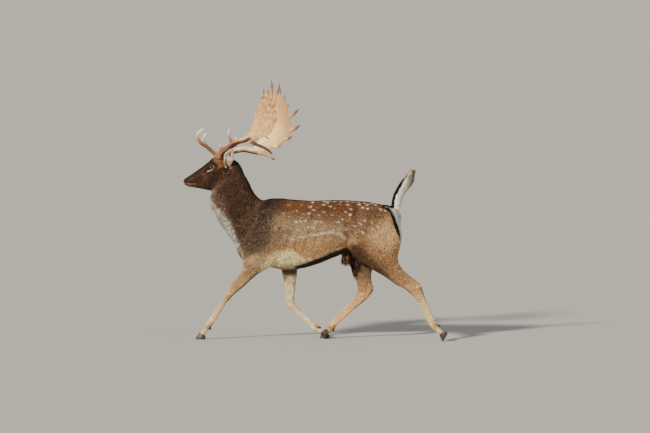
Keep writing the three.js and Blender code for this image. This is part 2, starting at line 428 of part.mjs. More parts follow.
// ---------------------------------------------------------------- the group
// Only the largest closed body of a cut is kept: slivers of a grazing cut go.
function toMesh(name, { m, colour, roughness }) {
  const parts = m.decompose().sort((p, q) => q.volume() - p.volume());
  const { vertProperties, triVerts, numProp } = parts[0].getMesh();
  const geometry = new THREE.BufferGeometry();
  const pos = new Float32Array((vertProperties.length / numProp) * 3);
  for (let i = 0; i < pos.length / 3; i++) for (let k = 0; k < 3; k++) pos[3 * i + k] = vertProperties[numProp * i + k] - (k === 0 ? CENTRE.x : k === 1 ? CENTRE.y : 0);
  geometry.setAttribute('position', new THREE.BufferAttribute(pos, 3));
  geometry.setIndex(new THREE.BufferAttribute(new Uint32Array(triVerts), 1));
  geometry.computeVertexNormals();
  const mesh = new THREE.Mesh(geometry, new THREE.MeshStandardMaterial({ color: colour, roughness, metalness: 0 }));
  mesh.name = name;
  return mesh;
}
const buck = new THREE.Group();
buck.name = 'fallow_buck';
for (const [name, piece] of Object.entries(pieces)) buck.add(toMesh(name, piece));
export default buck;
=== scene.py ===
"""A fallow buck in a trot, as a still life-size model: skin, coat, antlers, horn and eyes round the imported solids.
Tables and shaping are in millimetres in the buck's own frame, which looks along -Y with its left side at +X; meshes are in metres."""
import math
import numpy as np
import bpy
import bmesh
from mathutils.kdtree import KDTree
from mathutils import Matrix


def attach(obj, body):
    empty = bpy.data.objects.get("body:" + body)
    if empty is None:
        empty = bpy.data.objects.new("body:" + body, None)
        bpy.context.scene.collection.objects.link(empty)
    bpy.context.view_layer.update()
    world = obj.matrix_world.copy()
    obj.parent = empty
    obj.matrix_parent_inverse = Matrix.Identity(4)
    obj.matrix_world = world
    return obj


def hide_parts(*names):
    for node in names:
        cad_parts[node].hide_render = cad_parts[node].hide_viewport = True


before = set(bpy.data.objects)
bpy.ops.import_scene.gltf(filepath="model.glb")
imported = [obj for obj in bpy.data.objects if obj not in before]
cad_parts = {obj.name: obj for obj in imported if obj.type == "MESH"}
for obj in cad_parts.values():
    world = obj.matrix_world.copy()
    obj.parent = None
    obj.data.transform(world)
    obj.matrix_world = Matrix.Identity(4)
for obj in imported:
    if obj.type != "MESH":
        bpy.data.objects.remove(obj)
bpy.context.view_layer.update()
SHIFT = np.array([20.09, -30.50, 0.0])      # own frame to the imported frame, mm
rng = np.random.default_rng(11)

# ------------------------------------------------------------------ camera, light, floor
def srgb(r, g, b):
    c = np.array([r, g, b], float) / 255.0
    return np.where(c <= 0.04045, c / 12.92, ((c + 0.055) / 1.055) ** 2.4)


def camera():
    az, el, dist = math.radians(96.5), math.radians(3.0), 50.0
    target = np.array([0.02009, 0.0611, 0.8011])
    back = np.array([math.sin(az) * math.cos(el), -math.cos(az) * math.cos(el), math.sin(el)])
    cam = bpy.data.cameras.new("camera")
    cam.sensor_width, cam.lens, cam.clip_end = 36.0, 36.0 * dist / 4.225, 2000.0
    ob = bpy.data.objects.new("camera", cam)
    bpy.context.scene.collection.objects.link(ob)
    ob.location = target + dist * back
    z = back
    x = np.cross((0, 0, 1), z); x /= np.linalg.norm(x)
    y = np.cross(z, x)
    from mathutils import Matrix
    ob.rotation_euler = Matrix([[x[i], y[i], z[i]] for i in range(3)]).to_euler()
    bpy.context.scene.camera = ob


def lamp(name, azimuth, elevation, strength, angle, colour):
    light = bpy.data.lights.new(name, "SUN")
    light.energy, light.angle, light.color = strength, math.radians(angle), colour
    ob = bpy.data.objects.new(name, light)
    bpy.context.scene.collection.objects.link(ob)
    a, e = math.radians(azimuth), math.radians(elevation)
    from mathutils import Vector
    way = Vector((math.sin(a) * math.cos(e), -math.cos(a) * math.cos(e), math.sin(e)))
    ob.rotation_euler = way.to_track_quat("Z", "Y").to_euler()


def surroundings():
    world = bpy.data.worlds.new("studio")
    bpy.context.scene.world = world
    world.use_nodes = True
    world.node_tree.nodes["Background"].inputs[0].default_value = (0.95, 0.97, 1.0, 1)
    world.node_tree.nodes["Background"].inputs[1].default_value = 0.435
    lamp("key", 60, 27, 6.3, 6, (1.0, 0.92, 0.79))
    lamp("fill", 160, 30, 0.3, 60, (0.9, 0.95, 1.0))
    me = bpy.data.meshes.new("floor")
    n, radius = 96, 200.0
    ring = [(radius * math.cos(2 * math.pi * k / n), radius * math.sin(2 * math.pi * k / n), 0) for k in range(n)]
    me.from_pydata(ring, [], [list(range(n))])
    floor = bpy.data.objects.new("floor", me)
    bpy.context.scene.collection.objects.link(floor)
    m = bpy.data.materials.new("floor")
    m.use_nodes = True
    b = m.node_tree.nodes["Principled BSDF"]
    b.inputs["Base Color"].default_value = (0.455, 0.440, 0.412, 1)
    b.inputs["Roughness"].default_value = 0.9
    b.inputs["Specular IOR Level"].default_value = 0.1
    me.materials.append(m)


camera()
surroundings()

# ------------------------------------------------------------------ tables of sections
# Rows of body parts: y, z of the upper or front edge, y, z of the lower or rear edge, x, half width.
HEAD = [
    [-836, 1032, -832, 1012, 0, 15], [-828, 1044, -824, 1000, 0, 22], [-813, 1054, -804, 989, 0, 26],
    [-790, 1068, -781, 984, 0, 28], [-761, 1089, -748, 980, 0, 31], [-728, 1112, -713, 974, 0, 38],
    [-698, 1133, -680, 968, 0, 48], [-669, 1157, -647, 963, 0, 59], [-640, 1183, -614, 955, 0, 64],
    [-603, 1196, -578, 947, 0, 63], [-561, 1194, -535, 957, 0, 60], [-524, 1179, -503, 984, 0, 54],
]
CORE = [
    [-537, 1166, -644, 996, 0, 52], [-508, 1174, -650, 963, 0, 60], [-464, 1140, -655, 917, 0, 67],
    [-434, 1085, -658, 872, 0, 74], [-403, 1030, -638, 830, 0, 82], [-369, 961, -602, 758, 0, 93],
    [-321, 913, -547, 683, 0, 100], [-268, 919, -501, 622, 0, 112], [-219, 922, -462, 540, 0, 121],
    [-177, 921, -387, 485, 0, 128], [-131, 916, -282, 465, 0, 133], [-72, 912, -177, 451, 0, 136],
    [-7, 908, -72, 458, 0, 137], [65, 910, 33, 486, 0, 136], [144, 913, 131, 525, 0, 133],
    [222, 912, 216, 559, 0, 128], [301, 908, 301, 586, 0, 124], [373, 902, 379, 604, 0, 120],
    [445, 889, 458, 631, 0, 108], [503, 881, 523, 677, 0, 86], [543, 862, 564, 729, 0, 58],
    [562, 830, 573, 775, 0, 26],
]
FORE_L = [
    [-377, 825, -220, 846, 78, 38], [-415, 728, -186, 729, 88, 46], [-454, 630, -186, 619, 91, 47],
    [-451, 559, -212, 521, 90, 45], [-441, 500, -261, 469, 92, 42], [-448, 461, -323, 432, 88, 36],
    [-471, 421, -376, 388, 84, 31], [-504, 379, -429, 343, 82, 27], [-532, 336, -478, 304, 80, 24],
    [-551, 300, -509, 276, 79, 23], [-577, 261, -539, 243, 78, 19], [-607, 218, -569, 199, 77, 17],
    [-640, 163, -600, 148, 76, 17], [-667, 125, -623, 110, 75, 19], [-694, 90, -650, 74, 75, 21],
]
FORE_R = [
    [-330, 804, -173, 825, -78, 38], [-319, 706, -128, 707, -88, 46], [-293, 608, -76, 596, -90, 46],
    [-246, 517, -76, 499, -87, 43], [-217, 455, -89, 450, -86, 38], [-201, 400, -97, 398, -80, 32],
    [-187, 342, -106, 333, -76, 28], [-179, 270, -115, 268, -72, 24], [-175, 233, -118, 242, -70, 23],
    [-162, 198, -110, 223, -69, 22], [-129, 174, -90, 200, -68, 19], [-86, 144, -56, 172, -66, 17],
    [-45, 106, -15, 134, -64, 17], [-14, 75, 22, 105, -62, 19], [8, 49, 45, 78, -60, 21],
]
HIND_L = [
    [308, 861, 504, 872, 64, 50], [263, 770, 570, 798, 75, 59], [244, 666, 600, 682, 78, 60],
    [261, 572, 584, 591, 79, 57], [336, 511, 586, 517, 82, 53], [414, 456, 610, 472, 80, 46],
    [486, 415, 642, 440, 79, 38], [551, 371, 675, 411, 78, 31], [616, 336, 706, 389, 78, 25],
    [662, 299, 729, 361, 78, 23], [698, 260, 747, 307, 78, 20], [721, 227, 764, 261, 79, 17],
    [744, 179, 788, 209, 80, 17], [766, 131, 814, 149, 81, 18], [789, 92, 842, 104, 82, 21],
]
HIND_R = [
    [248, 854, 464, 862, -64, 50], [208, 762, 515, 783, -75, 59], [194, 658, 528, 686, -78, 60],
    [210, 579, 502, 594, -79, 55], [239, 501, 442, 515, -85, 49], [262, 436, 397, 450, -87, 40],
    [281, 377, 391, 387, -91, 33], [291, 331, 398, 342, -95, 28], [290, 298, 398, 313, -97, 25],
    [274, 267, 366, 271, -100, 23], [241, 239, 298, 209, -103, 21], [204, 202, 242, 163, -106, 18],
    [161, 158, 193, 119, -109, 17], [124, 122, 162, 87, -111, 19], [95, 94, 138, 57, -112, 21],
]
TAIL = [
    [520, 859, 585, 820, 0, 26], [525, 891, 591, 863, 0, 27], [529, 918, 595, 898, 0, 25],
    [537, 947, 604, 928, 0, 24], [559, 992, 629, 967, 0, 22], [585, 1032, 659, 1009, 0, 19],
    [613, 1067, 675, 1048, 0, 14], [640, 1092, 678, 1086, 0, 7],
]
EAR_L = [
    [44, -552, 1105, 42, -523, 1112, 12], [60, -556, 1131, 54, -516, 1131, 11], [76, -556, 1156, 68, -504, 1154, 9],
    [89, -552, 1182, 82, -494, 1179, 7.5], [100, -544, 1202, 95, -490, 1201, 6.5], [108, -527, 1219, 105, -494, 1215, 5],
    [114, -511, 1229, 113, -502, 1227, 3],
]
EAR_R = [
    [-44, -567, 1098, -42, -537, 1105, 12], [-66, -579, 1115, -58, -536, 1118, 11], [-88, -588, 1136, -80, -534, 1136, 9],
    [-108, -592, 1155, -100, -534, 1156, 7.5], [-126, -588, 1171, -120, -536, 1174, 6.5], [-140, -577, 1183, -137, -544, 1186, 5],
    [-150, -566, 1191, -149, -558, 1192, 3],
]
BEAM_L = [
    [36, -606, 1154, 19], [38, -604, 1177, 20], [44, -591, 1205, 20],
    [60, -564, 1224, 18.5], [84, -529, 1239, 18], [110, -492, 1267, 18],
    [137, -450, 1283, 17], [162, -407, 1294, 18], [182, -368, 1311, 19],
]
BROW_L = [
    [44, -609, 1193, 13], [52, -639, 1218, 12], [66, -673, 1246, 10.5],
    [84, -712, 1274, 9.5], [97, -732, 1312, 8.5], [103, -720, 1340, 7],
    [104, -701, 1357, 5.5], [102, -685, 1371, 2],
]
TREZ_L = [
    [112, -501, 1266, 12], [118, -509, 1288, 9.5], [126, -515, 1312, 7.5],
    [134, -520, 1343, 5.5], [140, -514, 1368, 1.8],
]
BACK_L = [
    [176, -372, 1284, 12], [182, -331, 1261, 9], [186, -291, 1246, 7.5],
    [187, -254, 1227, 5.5], [186, -223, 1198, 1.8],
]
BUMP_L = [
    [54, -575, 1219, 9], [56, -586, 1244, 6], [58, -593, 1268, 1.8],
]
PALM_L = [
    [166, -398, 1314, 172, -375, 1271, 15], [182, -376, 1340, 190, -333, 1290, 13], [196, -359, 1376, 212, -278, 1305, 11],
    [207, -346, 1415, 230, -226, 1334, 9.5], [217, -335, 1457, 242, -198, 1382, 8.5], [226, -322, 1497, 251, -186, 1435, 8],
    [234, -304, 1533, 256, -187, 1482, 7.5], [241, -292, 1563, 259, -194, 1521, 7], [247, -278, 1589, 259, -220, 1561, 6],
]
POINTS_L = [
    [[246, -283, 1570, 8], [250, -278, 1595, 6], [253, -268, 1619, 1.8]],
    [[252, -251, 1569, 8], [255, -246, 1592, 5.5], [257, -240, 1613, 1.8]],
    [[256, -227, 1540, 9], [260, -220, 1585, 7.5], [262, -218, 1631, 6], [262, -222, 1675, 1.8]],
    [[258, -210, 1514, 9], [262, -196, 1553, 7], [264, -184, 1584, 6], [264, -171, 1621, 5], [262, -169, 1655, 1.8]],
    [[256, -204, 1479, 8], [258, -184, 1486, 5.5], [259, -169, 1491, 1.8]],
    [[247, -208, 1414, 8], [249, -191, 1416, 5.5], [250, -178, 1423, 1.8]],
    [[214, -281, 1328, 9], [214, -258, 1307, 6], [213, -237, 1295, 1.8]],
]
BEAM_R = [
    [-36, -609, 1147, 19], [-38, -605, 1168, 20], [-46, -591, 1192, 20],
    [-62, -564, 1209, 19], [-86, -532, 1223, 18], [-112, -497, 1235, 18],
    [-138, -457, 1241, 18], [-160, -412, 1233, 19], [-176, -375, 1229, 20],
]
BROW_R = [
    [-44, -614, 1181, 13], [-52, -642, 1209, 12], [-66, -674, 1239, 10.5],
    [-84, -707, 1265, 9.5], [-98, -725, 1295, 8.5], [-104, -721, 1321, 7],
    [-106, -712, 1334, 5], [-106, -703, 1345, 2],
]
TREZ_R = [
    [-108, -506, 1238, 12], [-118, -515, 1259, 9.5], [-128, -518, 1281, 7.5],
    [-138, -518, 1305, 5.2], [-146, -513, 1327, 1.8],
]
BACK_R = [
    [-172, -387, 1221, 13], [-180, -349, 1215, 11], [-184, -316, 1206, 8.5],
    [-186, -290, 1190, 5], [-187, -266, 1173, 1.8],
]
BUMP_R = [
    [-56, -573, 1203, 9], [-58, -583, 1225, 6], [-60, -589, 1243, 1.8],
]
PALM_R = [
    [-160, -399, 1259, -170, -367, 1198, 16], [-178, -379, 1293, -190, -318, 1235, 13], [-196, -357, 1340, -216, -249, 1266, 11],
    [-209, -338, 1389, -236, -187, 1317, 9.5], [-220, -329, 1442, -250, -170, 1382, 8.5], [-230, -323, 1492, -258, -177, 1444, 8],
    [-238, -311, 1538, -262, -190, 1498, 7.5], [-245, -297, 1577, -264, -203, 1543, 7], [-252, -279, 1604, -264, -221, 1582, 6],
]
POINTS_R = [
    [[-256, -252, 1578, 8], [-260, -246, 1614, 6], [-262, -242, 1647, 1.8]],
    [[-261, -227, 1559, 8], [-264, -219, 1579, 5], [-265, -214, 1598, 1.8]],
    [[-262, -206, 1513, 8], [-265, -196, 1528, 5], [-266, -190, 1544, 1.8]],
    [[-257, -202, 1457, 10], [-262, -170, 1469, 8], [-266, -145, 1487, 5.5], [-268, -121, 1512, 1.8]],
    [[-246, -196, 1362, 11], [-250, -163, 1374, 8.5], [-253, -134, 1388, 6], [-254, -109, 1409, 1.8]],
    [[-232, -213, 1313, 9], [-235, -184, 1317, 6.5], [-236, -159, 1330, 1.8]],
    [[-208, -275, 1266, 9], [-208, -248, 1260, 6], [-208, -223, 1271, 1.8]],
]

TASSEL = [[196, 590, 256, 590, 0, 20], [200, 560, 250, 562, 0, 18], [205, 530, 244, 530, 0, 15], [209, 500, 240, 500, 0, 11], [214, 472, 234, 472, 0, 5]]
FEET = {"fl": dict(x=75, toe=-748, pitch=0, sink=0), "hl": dict(x=82, toe=871, pitch=60, sink=2.6), "fr": dict(x=-58, toe=88, pitch=76, sink=2.6), "hr": dict(x=-113, toe=43, pitch=0, sink=0)}
HOOF = dict(length=64, half=22.5, cleft=1.2, wall=40, heel=24, front=25, rear=60)
TILT, HUB, RISE = 5.0, np.array([0.0, -560.0, 1150.0]), 25.0
TILT_FROM, TILT_TO = np.array([-350.0, 860.0]), np.array([-520.0, 1060.0])
EYE = np.array([48.0, -648.0, 1109.0])


def ease(t):
    t = np.clip(t, 0, 1)
    return t * t * (3 - 2 * t)


def bump(t, at, wide):
    return np.exp(-(((t - at) / wide) ** 2))


def unit(v):
    return v / np.maximum(np.linalg.norm(v, axis=-1, keepdims=True), 1e-9)


def lean(p, whole=False, back=False):
    """The head leans about its long axis; the lean fades out down the neck."""
    p = np.asarray(p, float)
    d = TILT_TO - TILT_FROM
    w = np.ones(p.shape[:-1]) if whole else ease(((p[..., 1:] - TILT_FROM) @ d) / (d @ d))
    a = -math.radians(TILT) * w * (-1 if back else 1)
    k = np.array([0, math.cos(math.radians(RISE)), math.sin(math.radians(RISE))])
    v = p - HUB
    c, s = np.cos(a)[..., None], np.sin(a)[..., None]
    return v * c + np.cross(np.broadcast_to(k, v.shape), v) * s + k * (v @ k)[..., None] * (1 - c) + HUB


def refine(rows, steps):
    rows = np.array(rows, float)
    out = []
    for i in range(len(rows) - 1):
        a, b, c, d = rows[max(0, i - 1)], rows[i], rows[i + 1], rows[min(len(rows) - 1, i + 2)]
        for s in range(steps):
            t = s / steps
            out.append(0.5 * (2 * b + (c - a) * t + (2 * a - 5 * b + 4 * c - d) * t * t + (3 * b - a - 3 * c + d) * t ** 3))
    out.append(rows[-1])
    return np.array(out)


def power(v, e):
    return np.sign(v) * np.abs(v) ** (2 / e)


def head_shape(t):
    return 2.25 + 0.3 * bump(t, .15, .12), -0.16 * bump(t, .68, .22) + 0.08 * bump(t, .2, .15)


def core_shape(t):
    return 2.12 + 0.25 * bump(t, .72, .22), 0.16 * bump(t, .42, .16) - 0.06 * bump(t, .85, .12) + 0.05 * bump(t, .1, .12)


def plain_shape(t):
    return 2.1, 0.0


# Every loft is kept here, so that a point of the skin can find its part, its place along it and the lie of its coat.
GUIDE = dict(p=[], label=[], t=[], flow=[], inner=[])
LABELS = ["head", "core", "fl", "fr", "hl", "hr", "tail", "tassel", "ear_l", "ear_r"]


def tube(rings, first=None, last=None):
    m, n, _ = rings.shape
    v = np.concatenate([rings.reshape(-1, 3), [rings[0].mean(0) if first is None else first], [rings[-1].mean(0) if last is None else last]])
    f = []
    for r in range(m - 1):
        for k in range(n):
            j = (k + 1) % n
            f.append((r * n + k, r * n + j, (r + 1) * n + j, (r + 1) * n + k))
    for k in range(n):
        j = (k + 1) % n
        f.append((m * n, j, k))
        f.append((m * n + 1, (m - 1) * n + k, (m - 1) * n + j))
    return v, f


def loft(label, rows, n, steps, shape, grow, mode=None, nose=0.0, tail=0.0, record=True, back=False):
    """A closed loft through superellipse sections; grow is a number or one value for each row."""
    rows = np.array(rows, float)
    g = np.full(len(rows), float(grow)) if np.isscalar(grow) else np.array(grow, float)
    fine = refine(np.column_stack([rows, g]), steps)
    rings = []
    for i, row in enumerate(fine):
        t = i / (len(fine) - 1)
        e, crown = shape(t)
        a = 2 * np.pi * np.arange(n) / n
        u, s = power(np.cos(a), e), power(np.sin(a), e)
        fr, rr = row[0:2], row[2:4]
        mid, half = (fr + rr) / 2, np.linalg.norm(fr - rr) / 2
        up = (fr - rr) / (2 * half)
        q = np.empty((n, 3))
        q[:, 0] = row[4] + max(3.0, row[5] + row[6]) * s * (1 - crown * u)
        q[:, 1] = mid[0] + up[0] * max(3.0, half + row[6]) * u
        q[:, 2] = mid[1] + up[1] * max(3.0, half + row[6]) * u
        if mode:
            q = lean(q, mode == "whole")
        rings.append(q)
    rings = np.array(rings)

    def pole(ring, other, by):
        m, o = ring.mean(0), other.mean(0)
        return m + unit(m - o) * by
    v, f = tube(rings, pole(rings[0], rings[1], max(1.0, nose + fine[0][6])), pole(rings[-1], rings[-2], max(1.0, tail + fine[-1][6])))
    if record:
        flow = np.empty_like(rings)
        flow[1:-1] = rings[2:] - rings[:-2]
        flow[0], flow[-1] = rings[1] - rings[0], rings[-1] - rings[-2]
        flow = unit(flow) * (-1 if back else 1)
        GUIDE["p"].append(rings.reshape(-1, 3)); GUIDE["flow"].append(flow.reshape(-1, 3))
        GUIDE["label"].append(np.full(rings.shape[0] * n, LABELS.index(label)))
        GUIDE["t"].append(np.repeat(np.linspace(0, 1, len(rings)), n))
        GUIDE["inner"].append(np.zeros(rings.shape[0] * n))
    return v, f


def foot_map(foot):
    c, s = math.cos(math.radians(foot["pitch"])), math.sin(math.radians(foot["pitch"]))
    return lambda dx, y, z: np.array([foot["x"] + dx, foot["toe"] + y * c - z * s, y * s + z * c - foot["sink"]])


def with_pastern(rows, foot):
    at = foot_map(foot)
    n = np.array([HOOF["wall"] - HOOF["heel"], HOOF["rear"] - HOOF["front"]], float)
    n = n / np.linalg.norm(n)
    f = at(0, HOOF["front"] - n[0] * 3.0 + 2, HOOF["wall"] - n[1] * 3.0)
    r = at(0, HOOF["rear"] - n[0] * 3.0 - 2, HOOF["heel"] - n[1] * 3.0)
    last = np.array(rows[-1], float)
    end = np.array([f[1], f[2], r[1], r[2], foot["x"], HOOF["half"] - 3.5])
    waist = (last + end) / 2
    c = (waist[0:2] + waist[2:4]) / 2
    slim = np.concatenate([c + (waist[0:2] - c) * .86, c + (waist[2:4] - c) * .86, [waist[4], 18.5]])
    return [list(r) for r in rows] + [list(slim), list(end)]


LEGS = {"fl": FORE_L, "fr": FORE_R, "hl": HIND_L, "hr": HIND_R}
LEG_ROWS = {k: with_pastern(v, FEET[k]) for k, v in LEGS.items()}

# ------------------------------------------------------------------ the skin's body
HEAD_DEPTH = [-2.0] * 9 + [-3.0, -4.5, -6.0]
CORE_DEPTH = [-6.0, -7.0, -9, -10, -11, -11, -10, -9, -8, -7.5] + [-7.5] * 10 + [-6.0, -5.0]
LEG_DEPTH = [-8, -8, -7.5, -7, -6, -5, -4.5, -4, -3, -2.6, -2.4, -2.2, -2.2, -2.2, -2.4, -2.2, -1.6]
parts = [loft("core", CORE, 64, 4, core_shape, CORE_DEPTH, "blend", 4, 7), loft("head", HEAD, 56, 5, head_shape, HEAD_DEPTH, "whole", 6, 8)]
for key in ("fl", "fr", "hl", "hr"):
    parts.append(loft(key, LEG_ROWS[key], 36, 4, plain_shape, LEG_DEPTH, None, 2, 0))
# The tail's own flesh is thin, near its dark front edge; the sheath's is short.
TAIL_CORE = [[r[0] + (r[2] - r[0]) * .06, r[1] + (r[3] - r[1]) * .06, r[0] + (r[2] - r[0]) * f, r[1] + (r[3] - r[1]) * f, 0, w] for r, f, w in zip(TAIL, (.62, .55, .5, .46, .42, .4, .4, .5), (13, 13, 12, 11, 10, 9, 8, 5))]
parts.append(loft("tail", TAIL_CORE, 20, 4, plain_shape, -1.0, None, 1, 1))
SHEATH = [[198, 592, 252, 592, 0, 15], [206, 574, 242, 576, 0, 10], [215, 560, 233, 561, 0, 6]]
parts.append(loft("tassel", SHEATH, 16, 4, plain_shape, 0.0, None, 1, 2))


def to_object(name, v, f):
    me = bpy.data.meshes.new(name)
    me.from_pydata([tuple(x) for x in np.asarray(v, float)], [], [tuple(int(i) for i in x) for x in f])
    me.update()
    ob = bpy.data.objects.new(name, me)
    bpy.context.scene.collection.objects.link(ob)
    return ob


def joined(pieces):
    vs, fs, at = [], [], 0
    for v, f in pieces:
        vs.append(v)
        fs += [tuple(i + at for i in x) for x in f]
        at += len(v)
    return np.concatenate(vs), fs


def bake_modifiers(ob):
    """The object's mesh with its modifiers applied, as a new mesh."""
    dg = bpy.context.evaluated_depsgraph_get()
    me = bpy.data.meshes.new_from_object(ob.evaluated_get(dg))
    return me


def drop(ob):
    me = ob.data
    bpy.data.objects.remove(ob)
    bpy.data.meshes.remove(me)


def voxels(pieces, size):
    v, f = joined(pieces)
    ob = to_object("work", v * 0.001, f)
    mod = ob.modifiers.new("r", "REMESH")
    mod.mode, mod.voxel_size, mod.adaptivity = "VOXEL", size * 0.001, 0.0
    me = bake_modifiers(ob)
    drop(ob)
    return me


def coords(me):
    a = np.empty(len(me.vertices) * 3, np.float32)
    me.vertices.foreach_get("co", a)
    return a.reshape(-1, 3).astype(float) * 1000.0


def set_coords(me, v):
    me.vertices.foreach_set("co", (np.asarray(v, np.float32) * 0.001).ravel())
    me.update()


def edges_of(me):
    e = np.empty(len(me.edges) * 2, np.int32)
    me.edges.foreach_get("vertices", e)
    return e.reshape(-1, 2)


def relax(v, e, w, lam, times):
    n = len(v)
    deg = np.maximum(np.bincount(e.ravel(), minlength=n), 1)[:, None]
    k = (lam * w)[:, None] if not np.isscalar(w) else lam * w
    for _ in range(times):
        s = np.stack([np.bincount(e[:, 0], v[e[:, 1], i], n) + np.bincount(e[:, 1], v[e[:, 0], i], n) for i in range(v.shape[1])], 1) / deg
        v = v + k * (s - v)
    return v


def normals_of(me):
    a = np.empty(len(me.vertices) * 3, np.float32)
    me.vertices.foreach_get("normal", a)
    return unit(a.reshape(-1, 3).astype(float))


def tree_of(points):
    tree = KDTree(len(points))
    for i, p in enumerate(points):
        tree.insert(p, i)
    tree.balance()
    return tree


def nearest(tree, points):
    return np.array([tree.find(p)[1] for p in points])


me = voxels(parts, 6.3)
V, E = coords(me), edges_of(me)
G = {k: np.concatenate(x) for k, x in GUIDE.items()}
tree = tree_of(G["p"])
ids = nearest(tree, V)
lab, tt = G["label"][ids], G["t"][ids]
# Junctions are smoothed most: the tops of the legs, the throat, the roots of tail and sheath.
leg_top = tree_of(np.concatenate([G["p"][(G["label"] == k) & (G["t"] < .40)] for k in (2, 3, 4, 5)]))
dist = np.array([leg_top.find(p)[2] for p in V])
mask = np.where(lab == 1, ease(1 - dist / 70.0), 0.0)
mask = np.maximum(mask, np.where((lab >= 2) & (lab <= 5), ease((.46 - tt) / .12), 0))
throat = ease(1 - np.abs(np.linalg.norm(lean(V, True, True)[:, 1:] - (-560, 1010), axis=1)) / 120.0)
mask = np.maximum(mask, throat * .8)
root = np.linalg.norm(V[:, 1:] - (555, 850), axis=1)
mask = np.maximum(mask, ease(1 - root / 60.0))
mask = np.maximum(mask, ease(1 - np.linalg.norm(V - (0, 225, 590), axis=1) / 50.0))
V = relax(V, E, np.full(len(V), 1.0), .5, 3)
V = relax(V, E, mask, .6, 26)
set_coords(me, V)

# ------------------------------------------------------------------ ears: cupped shells, open outward
def ear(rows, label, side):
    rows = np.array(rows, float)
    fine = refine(rows, 6)
    a, b, t = lean(fine[:, 0:3], True), lean(fine[:, 3:6], True), fine[:, 6]
    mid = (a + b) / 2
    m = len(fine)
    along = unit(np.gradient(mid, axis=0))
    across = a - b
    half = np.linalg.norm(across, axis=1) / 2
    across = unit(across)
    out = unit(np.cross(along, across))
    out *= np.where(out[:, :1] * side < 0, -1, 1)
    rings, inner = [], []
    n = 22
    for i in range(m):
        s = i / (m - 1)
        u = np.cos(np.linspace(0, np.pi, n))
        depth = half[i] * (.62 * (1 - s) + .30 * s) * ease(s * 7 + .25)
        wall = 4.4 * (1 - s) + 2.6
        w = half[i] * (1 + .05 * math.sin(3.2 * s))
        curve = mid[i] + across[i] * (w * u)[:, None]
        bend = (1 - np.abs(u) ** 2.3)
        rim = .10 * w * (1 - bend)
        back = curve - out[i] * (depth * bend + wall * .5 - rim)[:, None]
        front = curve - out[i] * (depth * bend - wall * .5 - rim)[:, None]
        ring = np.concatenate([back, front[::-1][1:-1]])
        rings.append(ring)
        inner.append(np.concatenate([np.zeros(n), np.ones(n - 2)]))
    rings = np.array(rings)
    # the root goes down into the head
    deep = rings[0] + (np.array([0.0, rings[0][:, 1].mean(), rings[0][:, 2].mean() - 26]) - rings[0].mean(0)) * .38
    deep = deep.mean(0) + (deep - deep.mean(0)) * .8
    rings = np.concatenate([deep[None], rings])
    flow = unit(np.gradient(rings, axis=0))
    GUIDE["p"].append(rings[1:].reshape(-1, 3)); GUIDE["flow"].append(flow[1:].reshape(-1, 3))
    GUIDE["label"].append(np.full(rings[1:].shape[0] * rings.shape[1], LABELS.index(label)))
    GUIDE["t"].append(np.repeat(np.linspace(0, 1, m), rings.shape[1]))
    GUIDE["inner"].append(np.array(inner).ravel())
    tip = rings[-1].mean(0) + (rings[-1].mean(0) - rings[-2].mean(0)) * 1.5
    return tube(rings, None, tip)


def closed_out(v, f):
    """Faces turned outward."""
    vol = 0.0
    for x in f:
        for i in range(1, len(x) - 1):
            vol += np.dot(v[x[0]], np.cross(v[x[i]], v[x[i + 1]]))
    return f if vol > 0 else [tuple(reversed(x)) for x in f]


def add_bm(bm):
    me = bpy.data.meshes.new("m")
    bm.to_mesh(me)
    bm.free()
    return me


def subdivide(me, pick, cuts=1):
    """Splits the faces that pick chooses from face centres and keeps the mesh closed."""
    bm = bmesh.new()
    bm.from_mesh(me)
    bm.faces.ensure_lookup_table()
    c = np.array([f.calc_center_median() for f in bm.faces]) * 1000.0
    chosen = np.nonzero(pick(c))[0]
    es = set()
    for i in chosen:
        es.update(bm.faces[int(i)].edges)
    bmesh.ops.subdivide_edges(bm, edges=list(es), cuts=cuts, use_grid_fill=True, smooth=0.0)
    bpy.data.meshes.remove(me)
    return add_bm(bm)


body = bpy.data.objects.new("body", me)
bpy.context.scene.collection.objects.link(body)
for key, rows, side in (("ear_l", EAR_L, 1), ("ear_r", EAR_R, -1)):
    v, f = ear(rows, key, side)
    f = closed_out(v, f)
    tool = to_object(key, v * .001, f)
    mod = body.modifiers.new(key, "BOOLEAN")
    mod.operation, mod.object = "UNION", tool
    mod.solver = "EXACT"
me = bake_modifiers(body)
for key in ("ear_l", "ear_r"):
    drop(bpy.data.objects[key])
drop(body)
print("skin with ears", len(me.vertices), len(me.polygons))

G = {k: np.concatenate(x) for k, x in GUIDE.items()}
tree = tree_of(G["p"])
NOSTRIL = (17, -815.2, 1028.7)


def in_head(c):
    q = lean(c, True, True)
    return q


def pick_head(c):
    q = in_head(c)
    return (q[:, 1] < -575) & (q[:, 2] > 940) & (np.abs(q[:, 0]) < 75) & (q[:, 2] > 940 + 0 * q[:, 1])


def pick_fine(c):
    q = in_head(c)
    m = q * (1, 1, 1)
    m[:, 0] = np.abs(m[:, 0])
    eye = np.linalg.norm(m - EYE, axis=1) < 34
    nose = (q[:, 1] < -792)
    lips = (q[:, 1] < -735) & (np.abs(q[:, 2] - (1003 - .02 * (q[:, 1] + 800))) < 13)
    return eye | nose | lips


def pick_feet(c):
    return (c[:, 2] < 190) | ((c[:, 2] < 360) & (c[:, 1] < -480)) | ((c[:, 2] < 330) & (c[:, 1] > 600))


